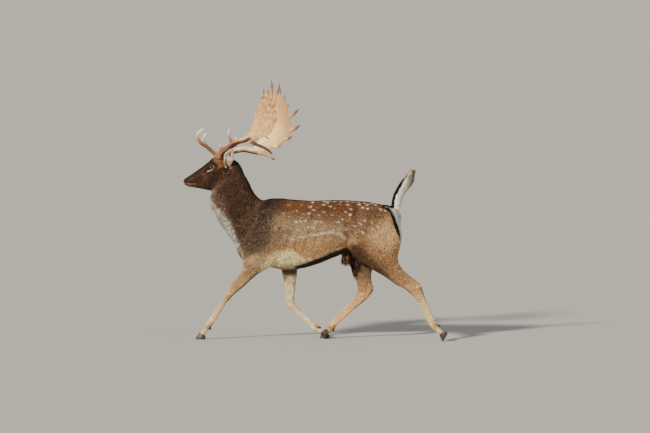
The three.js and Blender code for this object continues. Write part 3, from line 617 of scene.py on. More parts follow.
me = subdivide(me, pick_head)
me = subdivide(me, pick_fine)
me = subdivide(me, lambda c: np.linalg.norm(np.column_stack([np.abs(in_head(c)[:, 0]), in_head(c)[:, 1:]]) - EYE, axis=1) < 27)
print("subdivided", len(me.vertices), len(me.polygons))
V, E = coords(me), edges_of(me)
Q = in_head(V)
ids = nearest(tree, V)
lab, tt, inner = G["label"][ids], G["t"][ids], G["inner"][ids]
fine_w = ease((-570 - Q[:, 1]) / 30) * np.where(lab == 0, 1.0, 0.0)
V = relax(V, E, fine_w, .5, 6)
# the ears' roots flow into the head
for side, rows in ((1, EAR_L), (-1, EAR_R)):
    base = lean(np.array([(np.array(rows[0][0:3]) + np.array(rows[0][3:6])) / 2]), True)[0]
    w = ease(1.25 - np.linalg.norm(V - base, axis=1) / 34.0)
    V = relax(V, E, w, .5, 8)
set_coords(me, V)
N = normals_of(me)

# ------------------------------------------------------------------ relief of bone and muscle
def seg(p, a, b):
    a, b = np.array(a, float), np.array(b, float)
    d = b - a
    t = np.clip(((p - a) @ d) / max(d @ d, 1e-9), 0, 1)
    return np.linalg.norm(p - (a + t[:, None] * d), axis=1)


RELIEF = []           # from, to, spread, height


def relief(a, b, spread, height):
    RELIEF.append((a, b, spread, height))


def both(a, b, spread, height, dy=0.0):
    relief(a, b, spread, height)
    relief((-a[0], a[1] + dy, a[2]), (-b[0], b[1] + dy, b[2]), spread, height)


# near side
relief((125, -168, 835), (120, -189, 549), 14, -1.4)
relief((132, -292, 666), (132, -331, 627), 26, 5)
relief((118, -267, 873), (128, -371, 665), 12, 1.6)
relief((112, -432, 612), (118, -405, 574), 16, 6)
relief((108, -334, 833), (112, -425, 677), 8, -3)
relief((128, -214, 744), (128, -305, 549), 10, -1.0)
relief((115, -412, 508), (110, -334, 482), 12, 3)
relief((98, 279, 869), (104, 293, 856), 13, 7)
relief((122, 242, 812), (124, 262, 682), 12, -5)
relief((124, 191, 772), (124, 217, 734), 24, -3.5)
relief((120, 294, 630), (104, 201, 583), 10, 4)
relief((134, 322, 631), (132, 315, 579), 16, 5.5)
relief((134, 413, 748), (134, 452, 619), 30, 4.5)
relief((112, 535, 774), (106, 573, 514), 7, -4.5)
relief((132, 439, 593), (112, 567, 450), 8, -2.6)
relief((70, 556, 856), (76, 564, 824), 9, 4)
relief((128, 413, 514), (104, 541, 391), 14, 2.5)
relief((134, -122, 745), (130, -174, 589), 7, 1.6)
# far side, where the limbs are set the other way
relief((-122, -108, 760), (-118, -44, 540), 14, -1.4)
relief((-132, -212, 650), (-132, -200, 620), 26, 5)
relief((-118, -262, 840), (-128, -300, 660), 12, 1.6)
relief((-112, -330, 600), (-118, -300, 570), 16, 5)
relief((-98, 262, 872), (-104, 268, 862), 13, 7)
relief((-122, 200, 800), (-124, 196, 690), 12, -5)
relief((-124, 150, 790), (-124, 170, 750), 24, -3.5)
relief((-130, 236, 610), (-130, 246, 570), 16, 5)
relief((-134, 330, 740), (-134, 370, 640), 30, 4.5)
relief((-112, 500, 760), (-106, 480, 560), 7, -4.5)
relief((-70, 515, 850), (-76, 520, 830), 9, 4)
# neck
both((64, -608, 908), (92, -480, 650), 10, -5)
both((70, -548, 986), (104, -426, 742), 16, 4)
both((38, -631, 945), (46, -597, 829), 11, 3)
both((66, -483, 1065), (84, -376, 884), 12, -2.5)
both((64, -536, 1064), (66, -535, 1012), 12, 3)
for i in range(7):
    both((134, -102, 823), (128, -122, 589), 5, 0.0)
    y = -128 + 62 * i
    both((133, y, 800 - 4 * i), (130, y - 46, 600 + 4 * i), 7, 1.2)
RELIEF = [(a, b, s * 1.9, h * .6) for a, b, s, h in RELIEF]
# tendons, shins and knuckles along each leg
for key, rows in LEG_ROWS.items():
    r = np.array(rows)
    fore = key[0] == "f"

    def at(i, frac, side, k=.92):
        lo, hi = int(i), min(int(i) + 1, len(r) - 1)
        q = r[lo] + (r[hi] - r[lo]) * (i - int(i))
        return (q[4] + side * q[5] * k * math.sqrt(max(.04, 1 - (2 * frac - 1) ** 2)), q[0] + (q[2] - q[0]) * frac, q[1] + (q[3] - q[1]) * frac)
    for side in (1, -1):
        for i in range(10, 13):
            relief(at(i, .66, side), at(i + 1, .66, side), 3.6, -2.0)
        relief(at(13.6, .35, side), at(14.1, .4, side), 8, 1.6)
        if fore:
            relief(at(8.7, .45, side), at(9.3, .45, side), 9, 2.6)
            relief(at(4.5, .55, side), at(6.8, .6, side), 7, -2.2)
            relief(at(5, .25, side), at(6.5, .3, side), 10, 1.8)
            relief(at(9.3, .95, side), at(9.6, .98, side), 7, 2.4)
        else:
            relief(at(6.4, .72, side), at(8.6, .74, side), 5.5, -5.5)
            relief(at(5.5, .3, side), at(7.4, .34, side), 12, 2.6)
            relief(at(8.6, .42, side), at(9.3, .4, side), 8, 2.8)
            relief(at(9.0, .86, side), at(9.1, .9, side), 7, 1.5)
lift = np.zeros(len(V))
not_ear = lab < 8
for a, b, s, h in RELIEF:
    if h == 0.0:
        continue
    d = seg(V, a, b)
    lift += h * np.exp(-(d / s) ** 2) * not_ear
lift *= 1 - ease((-520 - Q[:, 1]) / 40) * (lab == 0)
V = V + N * lift[:, None]
# the rump stands fuller behind
stern = np.where(V[:, 0] > -20, 1.0, .5) * ease((V[:, 2] - 540) / 70) * ease((868 - V[:, 2]) / 44) * ease((V[:, 1] - 480) / 80)
V[:, 1] += 12.0 * stern * ((lab == 1) | (lab == 4) | (lab == 5))

# The head's own relief, in the head's frame and the same on both sides.
HEAD_RELIEF = []


def face(a, b, s, h):
    HEAD_RELIEF.append((a, b, s, h))


face((50, -685.6, 1026.4), (58, -644.6, 1013.4), 17, 4.5)           # jaw muscle
face((54, -618.8, 1007.1), (44, -639.8, 968.3), 9, 2.5)            # corner of the jaw
face((36, -740.9, 1044.7), (54, -669.0, 1074.5), 5.5, 2.6)    # crest of the cheek
face((34, -748.1, 1068.9), (44, -694.0, 1101.4), 8, -3.0)       # hollow before the eye
face((38, -733.7, 1018.0), (46, -679.3, 990.8), 6, -1.8)
face((22, -789.6, 1061.9), (28, -723.1, 1107.6), 6, 1.6)        # edge of the nose bones
face((28, -781.6, 1018.7), (34, -740.9, 1016.2), 5, 1.8)        # upper lip pad
face((22, -802.1, 990.2), (26, -761.7, 985.7), 4.5, 1.4)      # lower lip
face((46, -664.4, 1138.6), (52, -623.9, 1142.5), 8, 6.0)    # brow
face((46, -690.4, 1100.7), (48, -678.4, 1117.6), 5, 2.5)
face((56, -611.2, 1120.9), (58, -611.2, 1091.6), 6, 4.0)      # rear rim of the orbit
face((54, -665.7, 1079.7), (57, -629.0, 1079.8), 6, 3.4)      # lower rim
face((56, -593.3, 1111.3), (58, -572.8, 1078.8), 9, -2.5)           # temple
face((34, -630.4, 1160.6), (36, -597.1, 1164.0), 10, 4.5)         # foot of the antler
face((0, -668.9, 1149.2), (0, -642.7, 1168.9), 10, -2.6)        # dip between the brows
face((0, -619.7, 1178.1), (0, -590.2, 1187.4), 16, 3.0)
face((52, -560.8, 1098.6), (54, -547.0, 1066.1), 12, 3.0)           # root of the ear
M = Q * (1, 1, 1)
M = in_head(V)
M[:, 0] = np.abs(M[:, 0])
on_head = ease((-505 - M[:, 1]) / 30) * not_ear
lift = np.zeros(len(V))
for a, b, s, h in HEAD_RELIEF:
    lift += h * np.exp(-(seg(M, a, b) / s) ** 2)
# slit of the scent gland, nostril and mouth
slit = seg(M, (49, -677.3, 1094.1), (46, -694.8, 1078.5))
lift -= 3.0 * np.exp(-(slit / 2.3) ** 2)
lift += 1.4 * np.exp(-((slit - 5.5) / 2.6) ** 2)
nostril = np.minimum(seg(M, (9, -834.5, 1029), (15.5, -826, 1033.5)), seg(M, (15.5, -826, 1033.5), (21, -815.5, 1030)))
lift -= 7.0 * np.exp(-(nostril / 2.9) ** 2)
lift += 1.7 * np.exp(-((nostril - 6.5) / 2.6) ** 2)
MOUTH = [(0, -833.0, 1006.3), (12, -826.4, 1004.7), (20, -812.4, 999.3), (27, -783.5, 1003.8), (30, -761.3, 1003.8), (35, -736.6, 996.6)]
mouth = np.min([seg(M, a, b) for a, b in zip(MOUTH[:-1], MOUTH[1:])], axis=0)
lift -= 3.6 * np.exp(-(mouth / 1.9) ** 2)
lift += .8 * np.exp(-((mouth - 4.6) / 2.2) ** 2)
philtrum = seg(M, (0, -840, 1022), (0, -833, 1009))
lift -= 2.0 * np.exp(-(philtrum / 1.7) ** 2)
V = V + N * (lift * on_head)[:, None]

# Sockets, lids and their folds round each eyeball.
EYE_R = 15.0
AXIS = unit(np.array([0.92, -0.30, 0.20]))
FORE = unit(np.array([0.0, -0.94, -0.34]) - AXIS * (AXIS @ np.array([0.0, -0.94, -0.34])))
HIGH = np.cross(AXIS, FORE)
HIGH = HIGH if HIGH[2] > 0 else -HIGH
M = in_head(V)
flip = np.where(M[:, 0] < 0, -1.0, 1.0)
M[:, 0] *= flip
q = M - EYE
dist = np.linalg.norm(q, axis=1)
qa, qf, qh = q @ AXIS, q @ FORE, q @ HIGH
corner = 1 - .16 * np.clip(np.abs(qf) / 15, 0, 1.3)
rho = np.sqrt((qf / 15.0) ** 2 + (qh / (np.where(qh > 0, 8.8, 8.2) * corner)) ** 2)
near = (dist < 46) & (qa > -6) & (on_head > .5)
lid = EYE_R + 1.7 + 1.3 * np.exp(-((rho - 1.22) / .16) ** 2) + .6 * (qh > 0) * np.exp(-((rho - 1.2) / .2) ** 2)
w = ease((2.35 - rho) / 1.0)
target = np.where(rho < 1.0, EYE_R - 3.2 + 4.9 * ease((rho - .86) / .14), lid)
new = dist * (1 - w) + target * w
new -= 1.2 * np.exp(-((rho - 1.66) / .14) ** 2) * (qh > -3)
k = np.where(near & (rho < 2.6), new / np.maximum(dist, 1e-6), 1.0)
M2 = EYE + q * k[:, None]
M2[:, 0] *= flip
V = np.where((near & (rho < 2.6))[:, None], lean(M2, True), V)
eye_rho = np.where(near, rho, 9.0)
V = relax(V, E, np.where(near & (rho > 1.12) & (rho < 2.9), 1.0, 0.0), .35, 2)
set_coords(me, V)

# triangles, for all that follows
bm = bmesh.new()
bm.from_mesh(me)
bmesh.ops.triangulate(bm, faces=bm.faces[:])
bpy.data.meshes.remove(me)
me = add_bm(bm)
me.name = "skin"
me.polygons.foreach_set("use_smooth", np.ones(len(me.polygons), bool))
V, E, N = coords(me), edges_of(me), None
me.update()
N = normals_of(me)
F = np.empty(len(me.polygons) * 3, np.int32)
me.polygons.foreach_get("vertices", F)
F = F.reshape(-1, 3)
print("skin triangles", len(F))

# ------------------------------------------------------------------ noise
def hash01(i, j, k, seed):
    h = (i.astype(np.int64) * 374761393 + j.astype(np.int64) * 668265263 + k.astype(np.int64) * 2147483647 + seed * 974634777) & 0xFFFFFFFF
    h = ((h ^ (h >> 13)) * 1274126177) & 0xFFFFFFFF
    h = (h ^ (h >> 16)) & 0xFFFFFFFF
    return h / 4294967295.0


def noise(p, scale, seed=0):
    """Smooth values from -1 to 1 over points in mm; scale is the size of a patch, one number or one for each axis."""
    q = p / np.asarray(scale, float)
    b = np.floor(q).astype(np.int64)
    f = q - b
    f = f * f * (3 - 2 * f)
    out = 0
    for dx in (0, 1):
        for dy in (0, 1):
            for dz in (0, 1):
                w = np.where(dx, f[:, 0], 1 - f[:, 0]) * np.where(dy, f[:, 1], 1 - f[:, 1]) * np.where(dz, f[:, 2], 1 - f[:, 2])
                out = out + w * hash01(b[:, 0] + dx, b[:, 1] + dy, b[:, 2] + dz, seed)
    return 2 * out - 1


# ------------------------------------------------------------------ markings, painted shade and highlights
def poly_mask(y, z, poly, soft):
    """1 inside an outline in y and z, 0 outside, with a soft edge."""
    pts = np.array(poly, float)
    d = np.full(len(y), 1e9)
    inside = np.zeros(len(y), bool)
    for (ya, za), (yb, zb) in zip(pts, np.roll(pts, -1, axis=0)):
        ey, ez = yb - ya, zb - za
        t = np.clip(((y - ya) * ey + (z - za) * ez) / (ey * ey + ez * ez), 0, 1)
        d = np.minimum(d, np.hypot(y - ya - t * ey, z - za - t * ez))
        cross = (za > z) != (zb > z)
        with np.errstate(divide="ignore", invalid="ignore"):
            inside ^= cross & (y < (yb - ya) * (z - za) / (zb - za) + ya)
    return ease(.5 + np.where(inside, d, -d) / (2 * soft))


def line_mask(y, z, line, wide, soft):
    d = np.full(len(y), 1e9)
    for (ya, za), (yb, zb) in zip(line[:-1], line[1:]):
        ey, ez = yb - ya, zb - za
        t = np.clip(((y - ya) * ey + (z - za) * ez) / (ey * ey + ez * ez), 0, 1)
        d = np.minimum(d, np.hypot(y - ya - t * ey, z - za - t * ez))
    return ease((wide + soft / 2 - d) / soft)


SPOTS = [(15, 893), (6, 865), (31, 848), (-1, 824), (114, 893), (92, 881), (137, 870), (97, 835), (99, 903), (175, 912), (266, 906), (247, 882), (239, 837), (268, 819), (274, 854), (322, 882), (346, 865), (374, 882), (380, 858), (425, 883), (434, 892), (467, 855), (494, 847), (524, 838), (-85, 772), (-57, 775), (-24, 779), (45, 773), (78, 773), (-72, 718), (-7, 738), (33, 732), (220, 790), (193, 770), (244, 722), (298, 747), (337, 759), (365, 782), (412, 769), (451, 742), (415, 731), (353, 705)]
FAINT = [(-103, 835), (-169, 823), (-169, 747), (-212, 732), (-135, 875), (-57, 878), (-83, 843), (-37, 820), (54, 863), (165, 857), (198, 883), (152, 818), (-135, 803), (67, 814)]
SPOT_SIZE = [4.6, 5.6, 4.4, 5.0]

DORSAL = srgb(28, 22, 20)
BACK = srgb(118, 77, 49)
FLANK = srgb(154, 126, 96)
SHOULDER = srgb(90, 71, 57)
TAN = srgb(192, 154, 108)
CREAM = srgb(255, 228, 168)
HAUNCH = srgb(158, 121, 83)
NECK = srgb(78, 58, 45)
THROAT = srgb(242, 235, 222)
FACE = srgb(56, 38, 29)
SPOT = srgb(255, 246, 226)
WHITE = srgb(244, 240, 226)
LEG = srgb(206, 173, 124)
LEG_LOW = srgb(240, 208, 152)
INNER = srgb(244, 220, 180)


def mix(c, d, w):
    w = np.clip(w, 0, 1)[:, None]
    return c * (1 - w) + np.asarray(d) * w


def ear_across(P, label, t):
    """Where points of the ears lie between the rear edge, -1, and the front edge, 1."""
    u = np.zeros(len(P))
    for k, rows in ((8, EAR_L), (9, EAR_R)):
        sel = label == k
        if sel.any():
            r = np.array(rows, float)
            at_t = np.clip(t[sel], 0, 1) * (len(r) - 1)
            lo = np.minimum(at_t.astype(int), len(r) - 2)
            f = (at_t - lo)[:, None]
            q = r[lo] * (1 - f) + r[lo + 1] * f
            a, b = lean(q[:, 0:3], True), lean(q[:, 3:6], True)
            ax = a - b
            u[sel] = 2 * np.sum((P[sel] - (a + b) / 2) * ax, 1) / np.maximum(np.sum(ax * ax, 1), 1)
    return u


def markings_and_painted_light(P, label, t, inner, normal):
    """The coat's colour, linear, at points in mm, painted shade and highlights among the markings: one rule for the
    skin and every tuft on it.
    """
    n = len(P)
    x, y, z = np.abs(P[:, 0]), P[:, 1], P[:, 2]
    big, mid, fine = noise(P, 95, 1), noise(P, (30, 34, 26), 2), noise(P, (7, 13, 7), 3)
    grain = noise(P, (4.5, 10, 4.5), 8)
    yw, zw = y + 9 * big + 7 * mid + 9 * grain, z + 7 * noise(P, 60, 4) + 4 * noise(P, 17, 5) + 12 * grain
    c = np.tile(FLANK, (n, 1))
    # back, flank and belly
    c = mix(c, srgb(136, 100, 72), poly_mask(yw, zw, [(-307, 1003), (-59, 1004), (235, 1006), (489, 981), (606, 930), (619, 839), (580, 774), (463, 741), (280, 746), (169, 765), (58, 771), (-59, 770), (-164, 783), (-242, 821)], 34))
    c = mix(c, mix(np.tile(BACK, (n, 1)), srgb(74, 49, 35), ease((-120 - y) / 120) * .8), poly_mask(yw, zw, [(-242, 1016), (-59, 1017), (235, 1019), (489, 1001), (606, 949), (593, 871), (528, 832), (411, 812), (280, 814), (169, 824), (58, 826), (-59, 829), (-151, 835), (-216, 854)], 30))
    c = mix(c, srgb(176, 150, 119), poly_mask(yw, zw, [(-187, 745), (-122, 777), (-44, 788), (48, 778), (139, 753), (230, 728), (204, 682), (61, 688), (-57, 654), (-135, 628), (-201, 653)], 34) * .75)
    c = mix(c, TAN, poly_mask(yw, zw, [(-161, 628), (-57, 645), (74, 662), (165, 672), (230, 643), (283, 592), (230, 539), (61, 486), (-57, 485), (-135, 550)], 22))
    c = mix(c, srgb(168, 132, 92), poly_mask(yw, zw, [(100, 649), (204, 656), (283, 605), (309, 553), (204, 533), (113, 571)], 22) * .8)
    c = mix(c, srgb(186, 148, 108), poly_mask(yw, zw, [(-319, 607), (-253, 633), (-182, 634), (-155, 602), (-214, 575), (-267, 536), (-332, 509)], 18))
    c = mix(c, srgb(186, 138, 90), poly_mask(yw, zw, [(-240, 601), (-201, 634), (-142, 650), (-77, 647), (-18, 615), (21, 577), (-18, 550), (-77, 576), (-149, 595), (-208, 582)], 20) * .75)
    c = mix(c, CREAM, poly_mask(yw, zw, [(-339, 418), (-299, 503), (-260, 552), (-214, 582), (-155, 592), (-103, 579), (-51, 553), (1, 528), (54, 512), (112, 506), (138, 473), (21, 421), (-123, 381), (-306, 379)], 22))
    c = mix(c, srgb(222, 200, 164), ease((-normal[:, 2] - .45) / .35) * ease((y + 280) / 60) * ease((330 - y) / 60) * (label == 1))
    # painted shadow: a near-black band along the lower edge of the belly and chest, where the underside is in shade
    edge = np.maximum(line_mask(y, z, [(-283, 485), (-217, 470), (-165, 460), (-87, 457)], 4, 8) * .7, line_mask(y, z, [(-80, 458), (-34, 471), (31, 494), (142, 537), (227, 573), (318, 606)], 27 + 4 * mid, 12))
    edge = edge * ease((.1 - normal[:, 2]) / .3)
    c = mix(c, srgb(27, 21, 18), edge * (label == 1) * .95)
    # the pale line along the flank
    line = line_mask(y + 5 * grain, z + 4 * mid + 6 * grain, [(-135, 657), (-83, 665), (-24, 675), (35, 687), (93, 699), (146, 705), (185, 699), (217, 679), (237, 656)], 7, 13)
    c = mix(c, srgb(232, 206, 162), line * (.62 + .22 * ease((y - 60) / 70) + .45 * mid + .35 * fine + .2 * big))
    # shoulder
    c = mix(c, srgb(136, 112, 88), poly_mask(yw, zw, [(-305, 815), (-200, 803), (-122, 732), (-135, 641), (-214, 595), (-318, 536), (-423, 522), (-410, 613), (-305, 679)], 60) * .9)
    c = mix(c, SHOULDER, poly_mask(yw, zw, [(-423, 912), (-331, 880), (-259, 822), (-240, 725), (-279, 633), (-338, 581), (-416, 561), (-456, 626), (-482, 730), (-455, 834)], 50))
    c = mix(c, srgb(182, 152, 116), poly_mask(yw, zw, [(-462, 509), (-384, 548), (-305, 568), (-266, 536), (-305, 471), (-384, 418), (-449, 431)], 16))
    # haunch
    c = mix(c, HAUNCH, poly_mask(yw, zw, [(283, 715), (335, 748), (400, 781), (491, 820), (582, 801), (641, 685), (654, 562), (621, 438), (517, 372), (413, 430), (322, 507), (269, 592), (256, 656)], 60))
    # painted highlight: a pale patch on the round of the haunch
    c = mix(c, srgb(226, 187, 138), poly_mask(yw, zw, [(387, 683), (458, 755), (537, 801), (608, 762), (641, 659), (602, 568), (504, 580), (413, 625)], 42) * .85)
    c = mix(c, srgb(112, 84, 64), poly_mask(yw, zw, [(237, 773), (309, 838), (413, 878), (491, 865), (478, 813), (387, 761), (309, 683), (243, 656)], 34) * .6)
    c = mix(c, srgb(184, 140, 98), poly_mask(yw, zw, [(569, 671), (647, 685), (660, 516), (621, 438), (543, 476), (530, 580)], 20) * .7)
    c = mix(c, srgb(76, 52, 38), poly_mask(yw, zw, [(224, 624), (276, 637), (341, 605), (413, 547), (491, 470), (543, 405), (491, 398), (393, 450), (302, 514), (237, 565)], 30) * .92)
    # withers, neck and throat
    c = mix(c, srgb(64, 48, 39), poly_mask(yw, zw, [(-464, 1119), (-307, 1003), (-216, 977), (-164, 926), (-203, 847), (-268, 782), (-334, 762), (-386, 820), (-425, 892)], 66))
    neck = poly_mask(yw, zw, [(-682, 1234), (-453, 1235), (-388, 1073), (-309, 937), (-309, 878), (-362, 826), (-414, 741), (-440, 644), (-493, 617), (-571, 740), (-637, 857), (-676, 935)], 26)
    skin_neck = neck * ((label <= 3) * 1.0)
    c = mix(c, NECK, skin_neck)
    c = mix(c, srgb(108, 82, 62), poly_mask(yw, zw, [(-695, 1000), (-597, 1013), (-545, 936), (-519, 832), (-480, 741), (-427, 702), (-414, 624), (-480, 624), (-571, 740), (-676, 883)], 30) * .55 * (label <= 3))
    c = mix(c, srgb(96, 70, 52), ease((mid + .2) * 1.6) * skin_neck * .5)
    c = mix(c, srgb(136, 104, 78), ease((fine - .4) * 3) * skin_neck * .4)
    c = mix(c, srgb(44, 33, 28), line_mask(y, z, [(-510, 1233), (-457, 1149), (-412, 1052), (-359, 954), (-287, 896)], 24, 60) * .85 * (label <= 1))
    throat = poly_mask(y + 5 * mid + 5 * grain, z + 5 * fine + 5 * grain, [(-700, 940), (-657, 917), (-628, 885), (-592, 843), (-556, 800), (-523, 762), (-500, 713), (-474, 648), (-438, 570), (-438, 518), (-510, 504), (-628, 686), (-700, 816)], 13)
    c = mix(c, srgb(150, 126, 104), poly_mask(yw, zw, [(-674, 972), (-634, 972), (-582, 914), (-536, 830), (-497, 739), (-458, 648), (-484, 622), (-549, 752), (-628, 868), (-674, 920)], 26) * (label != 0) * ease((130 - x) / 40) * .75)
    c = mix(c, THROAT, throat * (label != 0) * ease((118 - x) / 26))
    c = mix(c, srgb(164, 150, 136), throat * ease((fine + mid * .6 - .1) * 2.5) * .4)
    chest = ease((-normal[:, 1] - .45) / .3) * ease((612 - z) / 50) * (label == 1)
    c = mix(c, srgb(178, 148, 114), chest * .8)
    # dorsal stripe from nape to tail
    top = (label == 1) & (normal[:, 2] > .1)
    c = mix(c, DORSAL, ease((28 + 6 * mid + 5 * grain - x) / 14) * top * ease((y + 520) / 120))
    # pale speckle of the shoulder and flank
    speck = noise(P, (4.5, 8, 4.5), 6)
    c = mix(c, srgb(176, 154, 128), ease((speck - .30) * 2.6) * poly_mask(y, z, [(-449, 821), (-305, 848), (-122, 836), (139, 785), (165, 669), (-122, 615), (-305, 510), (-462, 548)], 30) * .5)
    c = mix(c, srgb(206, 174, 136), ease((speck - .34) * 3.2) * poly_mask(y, z, [(139, 824), (282, 825), (413, 839), (569, 827), (621, 594), (582, 425), (413, 489), (269, 656), (139, 695)], 30) * .5)
    high_leg = ((label >= 2) & (label <= 5)) * ease((.42 - t) / .08)
    c = mix(c, srgb(66, 46, 36), ease((-speck - .36) * 3.2) * ((label == 1) + high_leg) * .38)
    # spots, as worn by either side
    for k, (sy, sz) in enumerate(SPOTS + FAINT):
        r = SPOT_SIZE[k % 4] * (1.14 if k < len(SPOTS) else .92)
        other = P[:, 0] < 0
        oy, oz = (11 * math.sin(5.1 * k), 6 * math.cos(3.3 * k))
        dy, dz = y - sy - oy * other, z - sz - oz * other
        near_it = (np.abs(dy) < 20) & (np.abs(dz) < 20)
        if not near_it.any():
            continue
        d = np.hypot(dy / .86, dz / 1.06)[near_it]
        w = np.zeros(n)
        w[near_it] = ease((r + 2.2 - d + 1.4 * fine[near_it]) / 3.4)
        c = mix(c, SPOT, w * (x > 26) * (.95 if k < len(SPOTS) else .4) * ((label == 1) | (label > 1) & (label < 6)))
    # a row of small spots beside the dorsal stripe
    row = (np.sin(y / 6.1) > .45) & (np.abs(x - 40 - 4 * np.sin(y / 23)) < 5)
    c = mix(c, SPOT, row * top * ease((y - 40) / 60) * ease((470 - y) / 40) * .7)
    # legs
    for k in (2, 3, 4, 5):
        on = label == k
        if not on.any():
            continue
        fore, left = k < 4, k in (2, 4)
        side = (P[:, 0] - (85 if left else -85)) * (1 if left else -1)
        medial = ease((-normal[:, 0] * (1 if left else -1) - .1) / .5)
        if fore:
            w = ease((t - .27) / .10)
            leg = mix(np.tile(srgb(176, 144, 102), (n, 1)), LEG, ease((t - .4) / .2))
            leg = mix(leg, srgb(128, 92, 64), ease((normal[:, 1] - .15) / .5) * ease((.88 - t) / .1) * .7)
            leg = mix(leg, srgb(222, 184, 142), ease((-normal[:, 1] - .2) / .5) * ease((t - .36) / .1) * .5)
        else:
            w = ease((t - .33) / .14)
            leg = mix(np.tile(srgb(184, 146, 102), (n, 1)), srgb(210, 174, 126), ease((t - .42) / .2))
            leg = mix(leg, srgb(92, 64, 44), ease((.62 - t) / .12) * ease((-normal[:, 1] - .05) / .5) * .85)
            leg = mix(leg, srgb(132, 98, 70), ease((normal[:, 1] - .2) / .5) * ease((t - .5) / .1) * ease((.9 - t) / .1) * .6)
        leg = mix(leg, LEG_LOW, ease((t - .58) / .2))
        leg = mix(leg, INNER if fore else srgb(216, 170, 118), medial * (.9 if fore else .6))
        # painted shadow: the top of the far foreleg, mostly its inner face, is darkened where the body's shade falls on
        # it
        if k == 3:
            leg = mix(leg, srgb(118, 97, 74), ease((z - 398) / 26) * (.15 + .85 * medial))
            w = np.maximum(w, ease((z - 398) / 26) * ease((520 - z) / 60) * medial)
        leg = mix(leg, srgb(150, 112, 82), ease((t - .80) / .05) * ease((.90 - t) / .04) * ease((normal[:, 1] + .2) / .6) * .7)
        leg = mix(leg, srgb(118, 88, 66), ease((t - .955) / .03) * .5)
        leg = leg * (1 + .09 * mid + .10 * fine + .08 * grain)[:, None]
        c = np.where(on[:, None], c * (1 - w[:, None]) + leg * w[:, None], c)
    # rump: white under the tail, edged with black
    rump = (label == 1) | (label == 4) | (label == 5) | (label == 6)
    k = np.clip((z - 480) / 12, 0, 39).astype(int)
    deep = np.where(P[:, 0] > 0, REAR[0][k], REAR[1][k]) - y
    high = ease((z - 560) / 70)
    wide = 11 + 10 * ease((z - 640) / 100)
    up_to = ease((892 - z) / 14) * ease((y - 380) / 60) * np.maximum(ease((normal[:, 1] - .30) / .25), ease((846 - z) / 16))
    limit = 92 - 34 * ease((720 - z) / 130)
    left = P[:, 0] > 0
    back_of = np.where(left, 1.0, ease((z - 690) / 40))
    border = 70 + 14 * ease((z - 640) / 140) + 4 * grain - x
    behind = ease((y - 470 - .25 * (900 - z)) / 24)
    edge = np.interp(z, [540, 655, 700, 735, 760, 788, 850, 890], [3, 4, 6, 9, 13, 19, 24, 24])
    band = np.interp(z, [640, 655, 664, 700, 735, 788, 830, 860, 890], [0, 4, 9, 26, 36, 46, 50, 56, 60])
    up_left = ease((900 - z) / 10) * ease((y - 380) / 60)
    black = srgb(26, 21, 19)
    c = mix(c, black, ease(border / 8) * behind * high * up_to * rump * (normal[:, 1] > -.1) * np.where(left, ease((edge + 20 - deep) / 6), 1.0))
    c = mix(c, black, ease((wide + 26 * ease((z - 668) / 110) + 3 * grain - deep) / 7) * high * up_to * rump * (z > 668) * ease((limit + 30 - x) / 8) * ~left)
    c = mix(c, black, ease((band + 4 * grain + 3 * mid - deep) / 6) * up_left * rump * left * ease((z - 650) / 12) * ease((x - 44) / 10))
    c = mix(c, WHITE, ease((wide + 3 * grain - deep) / 6) * high * up_to * rump * ease((limit - x) / 8) * back_of * ~left)
    c = mix(c, WHITE, ease((edge + 3 * grain - deep) / 4) * high * up_left * rump * left)
    c = mix(c, srgb(36, 28, 25), ease((46 + 5 * grain - x) / 12) * ease((y - 425 + 6 * mid) / 50) * ease((z - 838) / 20) * ease((.55 - normal[:, 1]) / .25) * (label == 1))
    inner_w = np.where(left, 84.0 - 20 * ease((700 - z) / 90), 50.0) + 10 * ease((z - 640) / 140)
    middle = ease((inner_w + 4 * grain - x) / 8) * behind * high * up_to * np.where(left, np.maximum(np.maximum(ease((edge + 8 + 3 * grain - deep) / 5), ease((54 + 3 * grain - x) / 10)), ease((725 - z) / 30)), 1.0)
    c = mix(c, WHITE, middle * rump)
    # tail: black above, white below
    on = label == 6
    if on.any():
        dark = ease((-normal[:, 1] * .8 + normal[:, 2] * .3 + .30) / .3)
        tail = mix(np.tile(WHITE, (n, 1)), srgb(22, 19, 18), dark)
        c = np.where(on[:, None], tail, c)
    on = label == 7
    if on.any():
        c = np.where(on[:, None], mix(np.tile(srgb(150, 92, 58), (n, 1)), srgb(64, 42, 32), ease(mid + .4)), c)
    # head
    H = lean(P, True, True)
    hx, hy, hz = np.abs(H[:, 0]), H[:, 1], H[:, 2]
    face = np.tile(FACE, (n, 1))
    face = mix(face, srgb(88, 60, 42), ease((mid + .1) * 1.5) * .5)
    face = mix(face, srgb(118, 84, 58), ease((fine - .35) * 2.5) * .35)
    hm = np.column_stack([hx, hy, hz])

